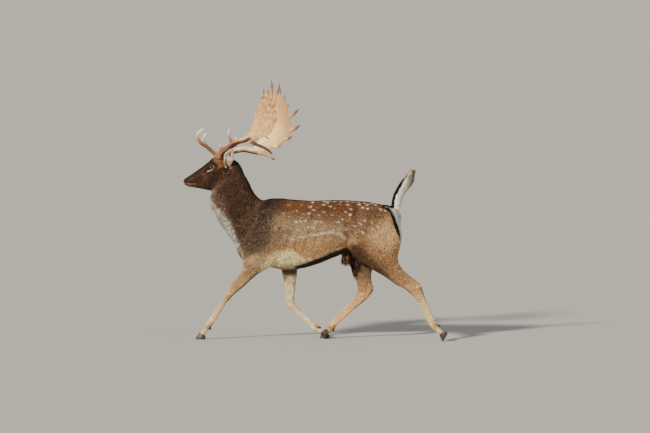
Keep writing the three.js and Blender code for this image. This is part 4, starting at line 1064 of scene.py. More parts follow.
    def spot(a, b, r, soft):
        return ease((r - seg(hm, a, b)) / soft + .5)
    face = mix(face, srgb(34, 25, 22), spot((8, -818.2, 1046.5), (14, -673.2, 1151.3), 17, 14) * .8)                 # dark bridge
    face = mix(face, srgb(42, 30, 25), spot((14, -737.3, 981.7), (26, -662.6, 968.7), 12, 10) * .7)
    face = mix(face, srgb(150, 104, 68), spot((40, -606.4, 1163.8), (50, -574.8, 1137.6), 24, 16) * .85)           # below the burr
    face = mix(face, srgb(146, 100, 66), spot((8, -634.9, 1177.8), (20, -593.5, 1190.6), 22, 14) * .8)
    face = mix(face, srgb(150, 106, 72), spot((54, -587.4, 1143.9), (58, -602.7, 1104.7), 8, 8) * .7)
    face = mix(face, srgb(128, 92, 66), spot((50, -679.5, 1074.6), (44, -706.8, 1068.1), 6, 8) * .55)
    face = mix(face, srgb(172, 130, 102), spot((10, -832.1, 1012.5), (20, -798.6, 1009.8), 5.0, 5))            # front of the upper lip
    face = mix(face, srgb(168, 134, 102), spot((20, -802.6, 1007.8), (29, -754.8, 1005.8), 2.6, 3.5) * (.8 + .3 * fine))
    face = mix(face, srgb(206, 172, 138), spot((28, -757.7, 1006.5), (33, -739.0, 1003.8), 3.2, 5) * (.8 + .3 * fine))  # corner of the mouth
    face = mix(face, srgb(198, 172, 140), spot((20, -803.8, 994.8), (29, -761.3, 995.4), 2.8, 3.5))           # lower lip
    face = mix(face, srgb(34, 25, 22), spot((20, -799.7, 987.0), (27, -755.0, 987.0), 2.6, 3.5))              # dark line below it
    face = mix(face, srgb(150, 130, 104), ease((-normal[:, 2] - .5) / .3) * ease((-742 - hy) / 26) * .8)  # chin
    face = mix(face, srgb(122, 88, 64), spot((50, -590.3, 1046.4), (48, -580.1, 988.0), 5, 9) * ease(fine * 1.5 + .5) * .7)
    face = mix(face, srgb(100, 70, 50), spot((36, -727.6, 1033.1), (50, -672.8, 1059.0), 5, 8) * ease(mid * 1.5 + .5) * .5)
    face = mix(face, srgb(38, 28, 24), ease((normal[:, 2] - .25) / .4) * ease((-640 - hy) / 40) * .75)
    q = hm - EYE
    rho = np.sqrt((q @ FORE / 15.2) ** 2 + (q @ HIGH / 10.4) ** 2)
    ang = np.arctan2(q @ HIGH, q @ FORE)
    deg = np.degrees(ang)
    turn = np.where(deg < 0, ease((-14 - deg) / 20), ease((deg - 112) / 26))
    outer_rho = np.where(deg < 0, 1.80 + .2 * ease((deg + 170) / 70) + .62 * ease((deg + 78) / 44), 1.76)
    pale = ease((rho - 1.42) / .16) * ease((outer_rho + .10 * fine - rho) / .34) * turn
    pale *= (np.linalg.norm(q, axis=1) < 48)
    face = mix(face, srgb(58, 42, 34), (rho < 3.0) * (np.linalg.norm(q, axis=1) < 50) * ease((3.0 - rho) / .6) * .6)
    face = mix(face, srgb(222, 190, 158), pale * (.86 + .3 * noise(hm, 6, 12)))
    rim = np.sqrt((q @ FORE / 15.0) ** 2 + (q @ HIGH / (np.where(q @ HIGH > 0, 8.8, 8.2) * (1 - .16 * np.clip(np.abs(q @ FORE) / 15, 0, 1.3)))) ** 2)
    face = mix(face, srgb(70, 50, 39), ease((1.42 - rho) / .1) * (np.linalg.norm(q, axis=1) < 30))
    face = mix(face, srgb(18, 13, 12), ease((1.24 - rim) / .12) * (np.linalg.norm(q, axis=1) < 30))
    face = mix(face, srgb(20, 15, 14), ease(1.6 - seg(hm, (49, -677.3, 1094.1), (46, -694.8, 1078.5)) / 2.4))
    pad = seg(hm, (0, -833, 1031), (10, -826, 1027))
    face = mix(face, mix(np.tile(srgb(52, 40, 39), (n, 1)), srgb(84, 64, 60), ease(fine + .2) * .5), ease((15.5 - pad) / 4) * (hz > 1009))
    # painted shade: the nostril's hollow is near-black
    nost = np.minimum(seg(hm, (9, -834.5, 1029), (15.5, -826, 1033.5)), seg(hm, (15.5, -826, 1033.5), (21, -815.5, 1030)))
    face = mix(face, srgb(10, 8, 8), ease((4.6 - nost) / 2.2))
    # painted shade: a near-black line along the crease of the mouth
    mouth_d = np.min([seg(hm, a, b) for a, b in zip(MOUTH[:-1], MOUTH[1:])], axis=0)
    face = mix(face, srgb(16, 11, 11), ease((2.7 - mouth_d) / 1.6))
    # white under jaw and chin, seen from below
    face = mix(face, srgb(150, 128, 108), ease((-normal[:, 2] - .78) / .2) * ease((-640 - hy) / 60) * ease((hy + 800) / 40) * .35)
    on = label == 0
    w = ease((-500 - hy) / 50 + .3) * on
    w = np.where(on, np.maximum(w, ease((-590 - hy) / 20)), 0)
    c = c * (1 - w[:, None]) + face * w[:, None]
    # ears
    on = label >= 8
    if on.any():
        outer = mix(np.tile(srgb(120, 94, 74), (n, 1)), srgb(74, 56, 45), ease((t - .6) / .3) * .6)
        outer = outer * (1 + .15 * mid)[:, None]
        u = ear_across(P, label, t)
        lining = mix(np.tile(srgb(206, 176, 150), (n, 1)), srgb(136, 98, 72), ease((.34 - t) / .14) * .85)
        white_part = ease((u + .30 + .12 * fine) / .2) * ease((t - .28 - .05 * fine) / .1) * ease((1.02 - t) / .06)
        lining = mix(lining, srgb(246, 238, 222), white_part)
        # painted shade: a dark band down the middle of the ear's hollow
        lining = mix(lining, srgb(62, 48, 41), ease((.22 - np.abs(u + .10)) / .12) * ease((t - .42) / .07) * ease((.74 - t) / .07))
        lining = mix(lining, srgb(92, 70, 56), ease((t - .92) / .05) * .8)
        lining = mix(lining, srgb(240, 230, 214), ease((.12 - t) / .06) * ease((u + .1) / .3))
        e = mix(outer, lining, inner)
        e = mix(e, srgb(84, 64, 52), ease((-.92 - u) / .12) * .6)
        c = np.where(on[:, None], e, c)
    griz = noise(P, (5.5, 10, 5.5), 14)
    griz = griz + .55 * noise(P, (12, 18, 12), 15)
    rough = np.where(label == 1, .20, np.where(label <= 5, .18, .0)) * np.where(label == 0, .6, 1.) + (label == 0) * .12
    return np.clip(c * (1 + .05 * big + .05 * mid + rough * griz)[:, None], .003, .95)


ids = nearest(tree, V)
lab, tt, inner = G["label"][ids], G["t"][ids], G["inner"][ids]
# the rearmost point of either side at each height, for the rump patch
REAR = [[], []]
for k in range(40):
    for h, sgn in enumerate((1, -1)):
        on = (V[:, 2] > 474 + 12 * k) & (V[:, 2] < 492 + 12 * k) & (V[:, 0] * sgn > 0) & ((lab == 1) | (lab == 4) | (lab == 5))
        REAR[h].append(V[on, 1].max() if on.any() else 500.0)
REAR = [np.convolve(np.pad(r, 2, mode="edge"), np.ones(5) / 5, "valid") for r in REAR]
skin_colour = markings_and_painted_light(V, lab, tt, inner, N)

# ------------------------------------------------------------------ unwrap by part and by the way each face looks
FN = np.cross(V[F[:, 1]] - V[F[:, 0]], V[F[:, 2]] - V[F[:, 0]])
AREA = np.linalg.norm(FN, axis=1) / 2
FN = unit(FN)
face_lab = lab[F[:, 0]]
axis = np.argmax(np.abs(FN), axis=1)
chart = face_lab * 6 + axis * 2 + (FN[np.arange(len(F)), axis] > 0)
corner_uv = np.zeros((len(F), 3, 2))
boxes = []
for cid in np.unique(chart):
    sel = np.nonzero(chart == cid)[0]
    k = (cid % 6) // 2
    keep = [i for i in range(3) if i != k]
    uv = V[F[sel]][:, :, keep]
    if cid % 2:
        uv = uv * (-1, 1)
    lo, hi = uv.min((0, 1)), uv.max((0, 1))
    turn = (hi - lo)[1] > (hi - lo)[0]
    uv = uv - lo
    size = hi - lo
    if turn:
        uv, size = uv[:, :, ::-1], size[::-1]
    corner_uv[sel] = uv
    boxes.append((size[1] + 8, size[0] + 8, sel))
boxes.sort(key=lambda b: -b[0])
side = 1900.0
while True:
    px = py = shelf = 0.0
    place, fits = [], True
    for h, w_, sel in boxes:
        if px + w_ > side:
            px, py, shelf = 0.0, py + shelf, 0.0
        if py + h > side or w_ > side:
            fits = False
            break
        place.append((px, py))
        px += w_
        shelf = max(shelf, h)
    if fits:
        break
    side *= 1.04
for (h, w_, sel), (px, py) in zip(boxes, place):
    corner_uv[sel] = (corner_uv[sel] + (px + 4, py + 4)) / side
print("unwrap side", side)


def put_colours(me, colours):
    a = me.color_attributes.new("Col", "FLOAT_COLOR", "POINT")
    a.data.foreach_set("color", np.column_stack([colours, np.ones(len(colours))]).astype(np.float32).ravel())


def put_uv(me, loops_uv):
    layer = me.uv_layers.new(name="OFBake")
    layer.data.foreach_set("uv", np.asarray(loops_uv, np.float32).ravel())


# ------------------------------------------------------------------ materials
def material(name, rough=.7, spec=.3, sheen=0.0, coat=0.0, bump=(), vary=None, coat_rough=.1):
    """Colour from the mesh's own colour attribute, painted light and shade included, varied by fine noise, with noise
    bumps.
    """
    m = bpy.data.materials.new(name)
    m.use_nodes = True
    t, b = m.node_tree, m.node_tree.nodes["Principled BSDF"]
    new = t.nodes.new
    col = new("ShaderNodeAttribute"); col.attribute_name = "Col"
    out = col.outputs["Color"]
    where = new("ShaderNodeTexCoord")
    if vary:
        scale, low, high = vary
        n = new("ShaderNodeTexNoise"); n.inputs["Scale"].default_value = scale; n.inputs["Detail"].default_value = 3
        t.links.new(where.outputs["Object"], n.inputs["Vector"])
        r = new("ShaderNodeMapRange")
        r.inputs["From Min"].default_value, r.inputs["From Max"].default_value = .3, .7
        r.inputs["To Min"].default_value, r.inputs["To Max"].default_value = low, high
        t.links.new(n.outputs["Fac"], r.inputs["Value"])
        x = new("ShaderNodeVectorMath"); x.operation = "SCALE"
        t.links.new(out, x.inputs[0]); t.links.new(r.outputs["Result"], x.inputs["Scale"])
        out = x.outputs["Vector"]
    t.links.new(out, b.inputs["Base Color"])
    b.inputs["Roughness"].default_value = rough
    b.inputs["Specular IOR Level"].default_value = spec
    b.inputs["Sheen Weight"].default_value = sheen
    b.inputs["Sheen Roughness"].default_value = .5
    b.inputs["Coat Weight"].default_value = coat
    b.inputs["Coat Roughness"].default_value = coat_rough
    last = None
    for scale, strength, distance in bump:
        n = new("ShaderNodeTexNoise"); n.inputs["Scale"].default_value = scale; n.inputs["Detail"].default_value = 4
        t.links.new(where.outputs["Object"], n.inputs["Vector"])
        k = new("ShaderNodeBump"); k.inputs["Strength"].default_value = strength; k.inputs["Distance"].default_value = distance
        t.links.new(n.outputs["Fac"], k.inputs["Height"])
        if last:
            t.links.new(last, k.inputs["Normal"])
        last = k.outputs["Normal"]
    if last:
        t.links.new(last, b.inputs["Normal"])
    return m


SKIN_MAT = material("hide", rough=.8, spec=.12, sheen=.0, bump=((900, .5, .0008), (320, .4, .0012)), vary=(700, .78, 1.12))
FUR_MAT = material("fur", rough=.66, spec=.16, sheen=.0, bump=((1500, .25, .0004),), vary=(420, .86, 1.12))
LONG_MAT = material("long_hair", rough=.6, spec=.22, sheen=.0, bump=((1200, .3, .0005),), vary=(300, .85, 1.12))

skin = bpy.data.objects.new("skin", me)
bpy.context.scene.collection.objects.link(skin)
# painted shade: the skin between the tufts is darker than the coat, ×.86
put_colours(me, skin_colour * .86)
put_uv(me, corner_uv.reshape(-1, 2))
me.materials.append(SKIN_MAT)
set_coords(me, V + SHIFT)
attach(skin, "root")
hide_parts(*[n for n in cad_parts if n.split("_")[0] in ("head", "neck", "trunk", "tail", "ear", "leg", "cannon", "foot")])

# ------------------------------------------------------------------ the lie of the coat
flow = G["flow"][ids].copy()
H = in_head(V)
hx = np.abs(H[:, 0])
# the loft of the trunk runs from head to rump; its coat slants down the sides as well
core = lab == 1
side_of = np.sign(V[:, 0])
down = np.array([0.0, 0.0, -1.0])
slope = ease(np.abs(N[:, 0]) / .8)
flow[core] = unit(flow[core] + down * (.30 * slope[core])[:, None])
front = core & (V[:, 1] < -150)
flow[front] = unit(flow[front] + down * (.35 * slope[front])[:, None])
haunch = ((lab == 4) | (lab == 5)) & (tt < .35)
flow[haunch] = unit(flow[haunch] * .75 + np.array([0, .55, -.2]))
arm = ((lab == 2) | (lab == 3)) & (tt < .35)
flow[arm] = unit(flow[arm] * .8 + np.array([0, .45, -.2]))
# face: from the nose back and up over the cheek
onh = lab == 0
flow[onh] = unit(flow[onh] + np.column_stack([np.zeros(onh.sum()), np.zeros(onh.sum()), -.12 * np.ones(onh.sum())]))
flow = flow - N * np.sum(flow * N, 1)[:, None]
flow = unit(flow)
flow = relax(flow, E, 1.0, .5, 14)
flow = relax(flow, E, np.where((lab == 1) | ((lab >= 2) & (lab <= 5) & (tt < .34)), 1.0, 0.0), .5, 36)
flow = unit(flow - N * np.sum(flow * N, 1)[:, None])

# ------------------------------------------------------------------ tufts
def tuft_mesh(name, root, n, d, length, width, thick, raise_, sag, shade, label, t, inner, uv, mat, colour=None, hook=0.0):
    """Joined closed locks of seven corners each: a broad root, a middle and a tip, laid along d."""
    m = len(root)
    n, d = unit(n), unit(d)
    side = unit(np.cross(n, d))
    a = np.radians(raise_)[:, None]
    ahead = d * np.cos(a) + n * np.sin(a)
    up = unit(np.cross(ahead, side)) * -1
    up = np.where(np.sum(up * n, 1)[:, None] < 0, -up, up)
    L, W, T = length[:, None], width[:, None], thick[:, None]
    r0 = root - n * 1.0
    p0a, p0b, p0c = r0 + side * W * .42, r0 - side * W * .42, r0 + up * T * .7
    mid = root + ahead * L * .5 + n * (sag * .6)[:, None]
    p1a, p1b, p1c = mid + side * W * .5 - up * T * .2, mid - side * W * .5 - up * T * .2, mid + up * T * .8
    hooked = side * (hook * L if np.isscalar(hook) else hook[:, None] * L)
    tip = root + ahead * L - n * (sag * .9)[:, None] + hooked
    v = np.stack([p0a, p0b, p0c, p1a, p1b, p1c, tip], 1)
    centre0, centre1 = root + ahead * L * .12, mid
    if colour is None:
        lo = markings_and_painted_light(centre0, label, t, inner, n)
        md = markings_and_painted_light(centre1, label, t, inner, n)
        hi = markings_and_painted_light(tip, label, t, inner, n)
    else:
        lo, md, hi = colour
    s = shade[:, None]
    # painted shade: the three root corners are darker, as shade where the lock meets the skin; the tip is lighter
    cols = np.stack([lo * s * .74] * 3 + [md * s * .98] * 3 + [hi * s * 1.12], 1)
    cols = np.clip(cols, 0, .98)
    base = (np.arange(m) * 7)[:, None]
    tri = np.array([[0, 2, 1], [0, 3, 5], [0, 5, 2], [2, 5, 4], [2, 4, 1], [1, 4, 3], [1, 3, 0], [3, 6, 5], [5, 6, 4], [4, 6, 3]])
    faces = (base[:, :, None] + tri[None]).reshape(-1, 3)
    # the locks' faces look outward
    v0 = v[:, tri]
    vol = np.einsum("ijk,ijk->i", v0[:, :, 0], np.cross(v0[:, :, 1], v0[:, :, 2]))
    centre = v.mean(1)
    v0c = v0 - centre[:, None, None]
    vol = np.einsum("ijk,ijk->i", v0c[:, :, 0], np.cross(v0c[:, :, 1], v0c[:, :, 2]))
    flip = vol < 0
    faces = faces.reshape(m, 10, 3)
    faces[flip] = faces[flip][:, :, ::-1]
    faces = faces.reshape(-1, 3)
    me = bpy.data.meshes.new(name)
    me.vertices.add(m * 7)
    me.vertices.foreach_set("co", ((v.reshape(-1, 3) + SHIFT) * .001).astype(np.float32).ravel())
    me.loops.add(len(faces) * 3)
    me.loops.foreach_set("vertex_index", faces.astype(np.int32).ravel())
    me.polygons.add(len(faces))
    me.polygons.foreach_set("loop_start", np.arange(0, len(faces) * 3, 3, dtype=np.int32))
    me.update(calc_edges=True)
    me.polygons.foreach_set("use_smooth", np.ones(len(faces), bool))
    put_colours(me, cols.reshape(-1, 3))
    local = np.array([[-.5, -.5], [.5, -.5], [0, -.35], [-.5, .1], [.5, .1], [0, .15], [0, .5]]) * .003
    vuv = (uv[:, None, :] + local[None]).reshape(-1, 2)
    put_uv(me, vuv[faces.ravel()])
    me.materials.append(mat)
    ob = bpy.data.objects.new(name, me)
    bpy.context.scene.collection.objects.link(ob)
    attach(ob, "root")
    return ob, v.reshape(-1, 3)


def short_mesh(name, root, n, d, length, width, thick, raise_, sag, shade, label, t, inner, uv, mat):
    """Joined closed locks of five corners each: buried root, broad middle, tip."""
    m = len(root)
    n, d = unit(n), unit(d)
    side = unit(np.cross(n, d))
    a = np.radians(raise_)[:, None]
    ahead = d * np.cos(a) + n * np.sin(a)
    L, W, T = length[:, None], width[:, None], thick[:, None]
    mid = root + ahead * L * .36
    tip = root + ahead * L - n * sag[:, None]
    v = np.stack([root - n * 1.3, mid + side * W * .5 - n * .25, mid - side * W * .5 - n * .25, mid + n * T, tip], 1)
    lo, md, hi = markings_and_painted_light(root, label, t, inner, n), markings_and_painted_light(mid, label, t, inner, n), markings_and_painted_light(tip, label, t, inner, n)
    s = shade[:, None]
    # painted shade and light: each lock is darkest at its buried root, as shade at the skin, its middle's top ridge is
    # lighter than its two sides, as painted light, and its tip is lightest
    cols = np.clip(np.stack([lo * s * .76, md * s * .92, md * s * .92, md * s * 1.04, hi * s * 1.2], 1), 0, .98)
    tri = np.array([[0, 1, 3], [0, 3, 2], [0, 2, 1], [4, 3, 1], [4, 2, 3], [4, 1, 2]])
    v0 = v[:, tri] - v.mean(1)[:, None, None]
    flip = np.einsum("ijk,ijk->i", v0[:, :, 0], np.cross(v0[:, :, 1], v0[:, :, 2])) < 0
    faces = (np.arange(m) * 5)[:, None, None] + tri[None]
    faces[flip] = faces[flip][:, :, ::-1]
    faces = faces.reshape(-1, 3)
    me = bpy.data.meshes.new(name)
    me.vertices.add(m * 5)
    me.vertices.foreach_set("co", ((v.reshape(-1, 3) + SHIFT) * .001).astype(np.float32).ravel())
    me.loops.add(len(faces) * 3)
    me.loops.foreach_set("vertex_index", faces.astype(np.int32).ravel())
    me.polygons.add(len(faces))
    me.polygons.foreach_set("loop_start", np.arange(0, len(faces) * 3, 3, dtype=np.int32))
    me.update(calc_edges=True)
    me.polygons.foreach_set("use_smooth", np.ones(len(faces), bool))
    put_colours(me, cols.reshape(-1, 3))
    local = np.array([[0, -.5], [.5, 0], [-.5, 0], [0, .08], [0, .5]]) * .003
    put_uv(me, (uv[:, None, :] + local[None]).reshape(-1, 2)[faces.ravel()])
    me.materials.append(mat)
    ob = bpy.data.objects.new(name, me)
    bpy.context.scene.collection.objects.link(ob)
    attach(ob, "root")
    return ob, v.reshape(-1, 3)


FC = V[F].mean(1)
HF = in_head(FC)
HFm = np.column_stack([np.abs(HF[:, 0]), HF[:, 1:]])
TF = tt[F].mean(1)
LF = face_lab
IN = inner[F].mean(1)
bare = (eye_rho[F[:, 0]] if len(eye_rho) > F.max() else np.full(len(F), 9.0))
eye_q = HFm - EYE
eye_r = np.sqrt((eye_q @ FORE / 15.2) ** 2 + (eye_q @ HIGH / 10.4) ** 2)
near_eye = (np.linalg.norm(eye_q, axis=1) < 30) & (eye_r < 1.16)
pad_d = seg(HFm, (0, -833, 1031), (10, -826, 1027))
mouth_d = np.min([seg(HFm, a, b) for a, b in zip(MOUTH[:-1], MOUTH[1:])], axis=0)
head_f = LF == 0
blocked = head_f & (near_eye | ((pad_d < 15.5) & (HF[:, 2] > 1009)) | (mouth_d < 2.4))
for rows in (BEAM_L, BEAM_R):
    b = lean(np.array(rows)[:, :3].astype(float), True)
    blocked |= seg(FC, b[0], b[2]) < 15.5
blocked |= (FC[:, 2] < 26)

# length, width, rise and number per square metre, for every face
length = np.full(len(F), 23.0)
width = np.full(len(F), 3.3)
rise = np.full(len(F), 7.0)
dens = np.full(len(F), 82000.0)


def setting(sel, L, W, R, D):
    length[sel], width[sel], rise[sel], dens[sel] = L, W, R, D


z_f, y_f, x_f = FC[:, 2], FC[:, 1], np.abs(FC[:, 0])
neck_f = (LF == 1) & (y_f < -330)
setting(neck_f, 27, 3.2, 10, 98000)
setting((LF == 1) & (y_f < -430) & (FN[:, 1] < -.25), 36, 3.4, 14, 110000)
setting((LF == 1) & (FN[:, 2] < -.5) & (y_f > -250), 28, 3.6, 9, 70000)
setting(head_f, 10, 1.9, 7, 190000)
muzzle = head_f & (HF[:, 1] < -700)
setting(muzzle, 6.2, 1.35, 6, 250000)
setting(head_f & (HF[:, 1] > -600), 16, 2.5, 9, 130000)
for k in (2, 3, 4, 5):
    legk = LF == k
    setting(legk & (TF >= .30), 18, 2.9, 7, 98000)
    setting(legk & (TF >= .45), 13.5, 2.4, 6, 135000)
    setting(legk & (TF >= .62), 9.8, 1.9, 6, 200000)
    setting(legk & (TF >= .84), 11.0, 1.9, 8, 200000)
ears_f = LF >= 8
setting(ears_f, 8.5, 1.5, 8, 210000)
setting(LF == 6, 18, 2.6, 12, 110000)
setting(LF == 7, 22, 2.6, 14, 110000)
dens[blocked] = 0
dens[ears_f & (IN > .6)] = 120000

want = dens * AREA * 1e-6
order = np.lexsort((np.floor(FC[:, 2] / 12), np.floor(FC[:, 1] / 12), LF))
total = np.cumsum(want[order])
picks = np.floor(total + rng.random()) - np.floor(np.concatenate([[0], total[:-1]]) + rng.random() * 0)
counts = np.zeros(len(F), int)
counts[order] = np.maximum(np.diff(np.concatenate([[0], np.floor(total)])), 0).astype(int)
fid = np.repeat(np.arange(len(F)), counts)
print("tufts", len(fid))


def sample(fid, gen):
    a, b = gen.random(len(fid)), gen.random(len(fid))
    fl = a + b > 1
    a, b = np.where(fl, 1 - a, a), np.where(fl, 1 - b, b)
    w = np.stack([1 - a - b, a, b], 1)
    tri = F[fid]
    root = np.einsum("ij,ijk->ik", w, V[tri])
    nn = unit(np.einsum("ij,ijk->ik", w, N[tri]))
    dd = np.einsum("ij,ijk->ik", w, flow[tri])
    dd = unit(dd - nn * np.sum(dd * nn, 1)[:, None])
    uv = np.einsum("ij,ijk->ik", w, corner_uv[fid])
    return root, nn, dd, uv


def grow(name, fid, gen, lmul=1.0, wmul=1.0, mat=FUR_MAT, slot="coat"):
    root, nn, dd, uv = sample(fid, gen)
    m = len(fid)
    lab_, t_, in_ = LF[fid], TF[fid], (IN[fid] > .5).astype(float)
    jig = gen.normal(0, .13, m)[:, None]
    dd = unit(dd + np.cross(nn, dd) * jig)
    L = length[fid] * lmul * gen.uniform(.75, 1.25, m)
    W = width[fid] * wmul * gen.uniform(.75, 1.3, m)
    clump = noise(root, (16, 22, 16), 9)
    R = rise[fid] * gen.uniform(.5, 1.5, m) * (1 + .3 * clump)
    shade = (1 + np.where(lab_ >= 1, .16, .12) * gen.normal(0, 1, m).clip(-2, 2)) * (1 + .10 * clump)
    return short_mesh(name, root, nn, dd, L, W, W * .24, R, L * .03, shade, lab_, t_, in_, uv, mat)


groups = {
    "coat_trunk_front": (LF == 1) & (y_f < 100) & (y_f >= -330),
    "coat_trunk_rear": (LF == 1) & (y_f >= 100),
    "coat_neck": (LF == 1) & (y_f < -330),
    "coat_head": (LF == 0) | (LF >= 8),
    "coat_foreleg_left": LF == 2, "coat_foreleg_right": LF == 3,
    "coat_hindleg_left": LF == 4, "coat_hindleg_right": LF == 5,
    "coat_tail_root": (LF == 6) | (LF == 7),
}
for k, (name, sel) in enumerate(groups.items()):
    part = fid[sel[fid]]
    gen = np.random.default_rng(100 + k)
    step = 32000
    for j in range(0, len(part), step):
        ob, _ = grow(name if len(part) <= step else f"{name}_{j // step + 1}", part[j:j + step], gen, slot={"coat_neck": "coat_head", "coat_head": "coat_head", "coat_tail_root": "coat_tail"}.get(name, "coat"))
        print(ob.name, len(ob.data.polygons))

# ------------------------------------------------------------------ long hair: tail, sheath, groin
def loose(name, root, target, n, width, thick, shade, colour, sag, mat, uv_near):
    """Long locks from root to target."""
    d = target - root
    L = np.linalg.norm(d, axis=1)
    m = len(root)
    nn = unit(n - unit(d) * np.sum(unit(d) * n, 1)[:, None])
    zero = np.zeros(m)
    uv = nearest_uv(uv_near)
    return tuft_mesh(name, root, nn, unit(d), L, width, thick, zero, sag, shade, zero.astype(int), zero, zero, uv, mat, colour=colour)


uv_of_vertex = np.zeros((len(V), 2))
uv_of_vertex[F.reshape(-1)] = corner_uv.reshape(-1, 2)
tail_pick = np.nonzero(lab == 6)[0]
low_pick = np.nonzero((V[:, 2] < 620) & (V[:, 2] > 420) & (np.abs(V[:, 1] - 240) < 130))[0]
trees = {"tail": (tail_pick, tree_of(V[tail_pick])), "low": (low_pick, tree_of(V[low_pick]))}
_near = {"which": "tail"}


def nearest_uv(points):
    pick, tr = trees[_near["which"]]
    return uv_of_vertex[pick[nearest(tr, points)]]


tail_fine = refine(TAIL, 8)
core_fine = refine(TAIL_CORE, 8)


def in_tail(s, c, xf, rows):
    k = np.clip(s, 0, 1) * (len(rows) - 1)
    i = np.minimum(k.astype(int), len(rows) - 2)
    w = (k - i)[:, None]
    r = rows[i] * (1 - w) + rows[i + 1] * w
    over = np.maximum(s - 1, 0)[:, None] * 240
    f, b = r[:, 0:2], r[:, 2:4]
    q = f + (b - f) * c[:, None]
    away = unit((rows[-1][0:2] + rows[-1][2:4]) / 2 - (rows[-6][0:2] + rows[-6][2:4]) / 2)
    q = q + away * over
    return np.column_stack([xf * r[:, 5] * np.sqrt(np.clip(1 - (2 * c - 1) ** 2, .04, 1)), q])


gen = np.random.default_rng(40)
m = 6400
s = gen.uniform(.0, .90, m)
low = .36 - .34 * ease((s - .56) / .2)
c = low + (1 - low) * gen.beta(1.2, 1.1, m)
xf = gen.uniform(-.9, .9, m)
root = in_tail(s, np.clip(c, 0, 1), xf * .8, core_fine)
pinch = ease((s - .72) / .30) * .42
target = in_tail(s + gen.uniform(.10, .27, m) * (1 - .2 * ease((s - .8) / .1)) + .05 * gen.beta(.6, 3, m), np.clip(c + .05 + .10 * ease((s - .45) / .15) * c + (.66 - c) * pinch * gen.uniform(.0, 1, m), 0, 1.16), xf * (1.5 - .7 * pinch) * (.7 + .3 * np.clip(c, 0, 1)), tail_fine)
tip_dark = ease((s + .2 - .80) / .2 + .4 * noise(target, 9, 31)) * ease((c - .05) / .3)
white = srgb(255, 249, 224)
# painted shade: some locks of the white hair are greyed, as shade between the locks
lock = noise(root, (6, 9, 9), 32)
body_c = mix(np.tile(white, (m, 1)), srgb(196, 178, 146), ease(lock * 1.5 + .1) * .55)
tip_c = mix(body_c, srgb(122, 98, 68), tip_dark * .95)
body_c = mix(body_c, srgb(206, 172, 122), ease((s - .56) / .22) * .75)
body_c = mix(body_c, srgb(92, 72, 54), ease((s - .62) / .1) * ease((.20 - c) / .1) * .8)
tip_c = mix(tip_c, srgb(96, 76, 56), ease((s - .62) / .1) * ease((.22 - c) / .1) * .9)
body_c = mix(body_c, srgb(118, 92, 62), ease((c - .74) / .14) * ease((s - .42) / .2) * .75)
tip_c = mix(tip_c, srgb(104, 82, 58), ease((c - .70) / .14) * ease((s - .40) / .2) * .85)
inward = in_tail(s + .1, np.full(m, .45), np.zeros(m), tail_fine)
nrm = unit(target - inward)
# painted shade: the locks' roots are darker
loose("tail_white_hair", root, target, nrm, gen.uniform(3.2, 5.4, m), gen.uniform(1.0, 1.6, m), 1 + .10 * gen.normal(0, 1, m).clip(-2, 2), (body_c * .8, body_c, tip_c), gen.uniform(0, 2.5, m), LONG_MAT, root)
m = 4000
s = gen.uniform(-.0, .70, m)
xf = gen.uniform(-1, 1, m)
c = gen.uniform(.01, .42, m) * (1 - .40 * ease((s - .5) / .2))
root = in_tail(s, np.clip(c, .02, .6), xf * .9, core_fine)
target = in_tail(s + gen.uniform(.09, .2, m) * (1 - .35 * ease((s - .55) / .12)), c + .01, xf * .8, tail_fine)
black = np.tile(srgb(24, 20, 19), (m, 1))
black = mix(black, srgb(70, 54, 42), ease((s - .62) / .1) * .5)
inward = in_tail(s + .1, np.full(m, .5), np.zeros(m), tail_fine)
# painted shade: the locks' roots are darker
loose("tail_dark_hair", root, target, unit(target - inward), gen.uniform(3.2, 5.0, m), gen.uniform(1.0, 1.5, m), 1 + .12 * gen.normal(0, 1, m).clip(-2, 2), (black * .9, black, black * 1.1), gen.uniform(0, 2, m), LONG_MAT, root)
# sheath tassel
_near["which"] = "low"
m = 1000
a = gen.uniform(0, 2 * np.pi, m)
h = gen.uniform(0, 1, m) ** .8
ax = np.column_stack([np.zeros(m), 224 + 0 * h, 588 - 44 * h])
rad = 13 - 7 * h
root = ax + np.column_stack([np.cos(a) * rad * .9, np.sin(a) * rad * 1.25, np.zeros(m)])
low = np.array([0.0, 222.0, 466.0])
fan = gen.uniform(.3, 1.5, m)
target = np.column_stack([np.cos(a) * 13 * fan, 228 + np.sin(a) * 24 * fan + 10 * noise(root, 9, 35), 584 - 40 * h - gen.uniform(40, 66, m) - 26 * ease(noise(root, 8, 34) * 1.5)])
target[:, 2] = np.maximum(target[:, 2], 470)
lock = noise(np.column_stack([np.cos(a) * 20, np.sin(a) * 20, h * 20]), 9, 33)
red = mix(np.tile(srgb(118, 80, 56), (m, 1)), srgb(34, 26, 23), ease(lock * 1.8 + .45))
red = mix(red, srgb(150, 108, 76), ease(lock * -1.6 - .3) * .6)
# painted shade: the locks' roots are darker
loose("sheath_hair", root, target, unit(root - ax + 1e-3), gen.uniform(3.0, 5.0, m), gen.uniform(1.0, 1.6, m), 1 + .15 * gen.normal(0, 1, m).clip(-2, 2), (red * .8, red, red * 1.25), gen.uniform(-3, 3, m), LONG_MAT, root)
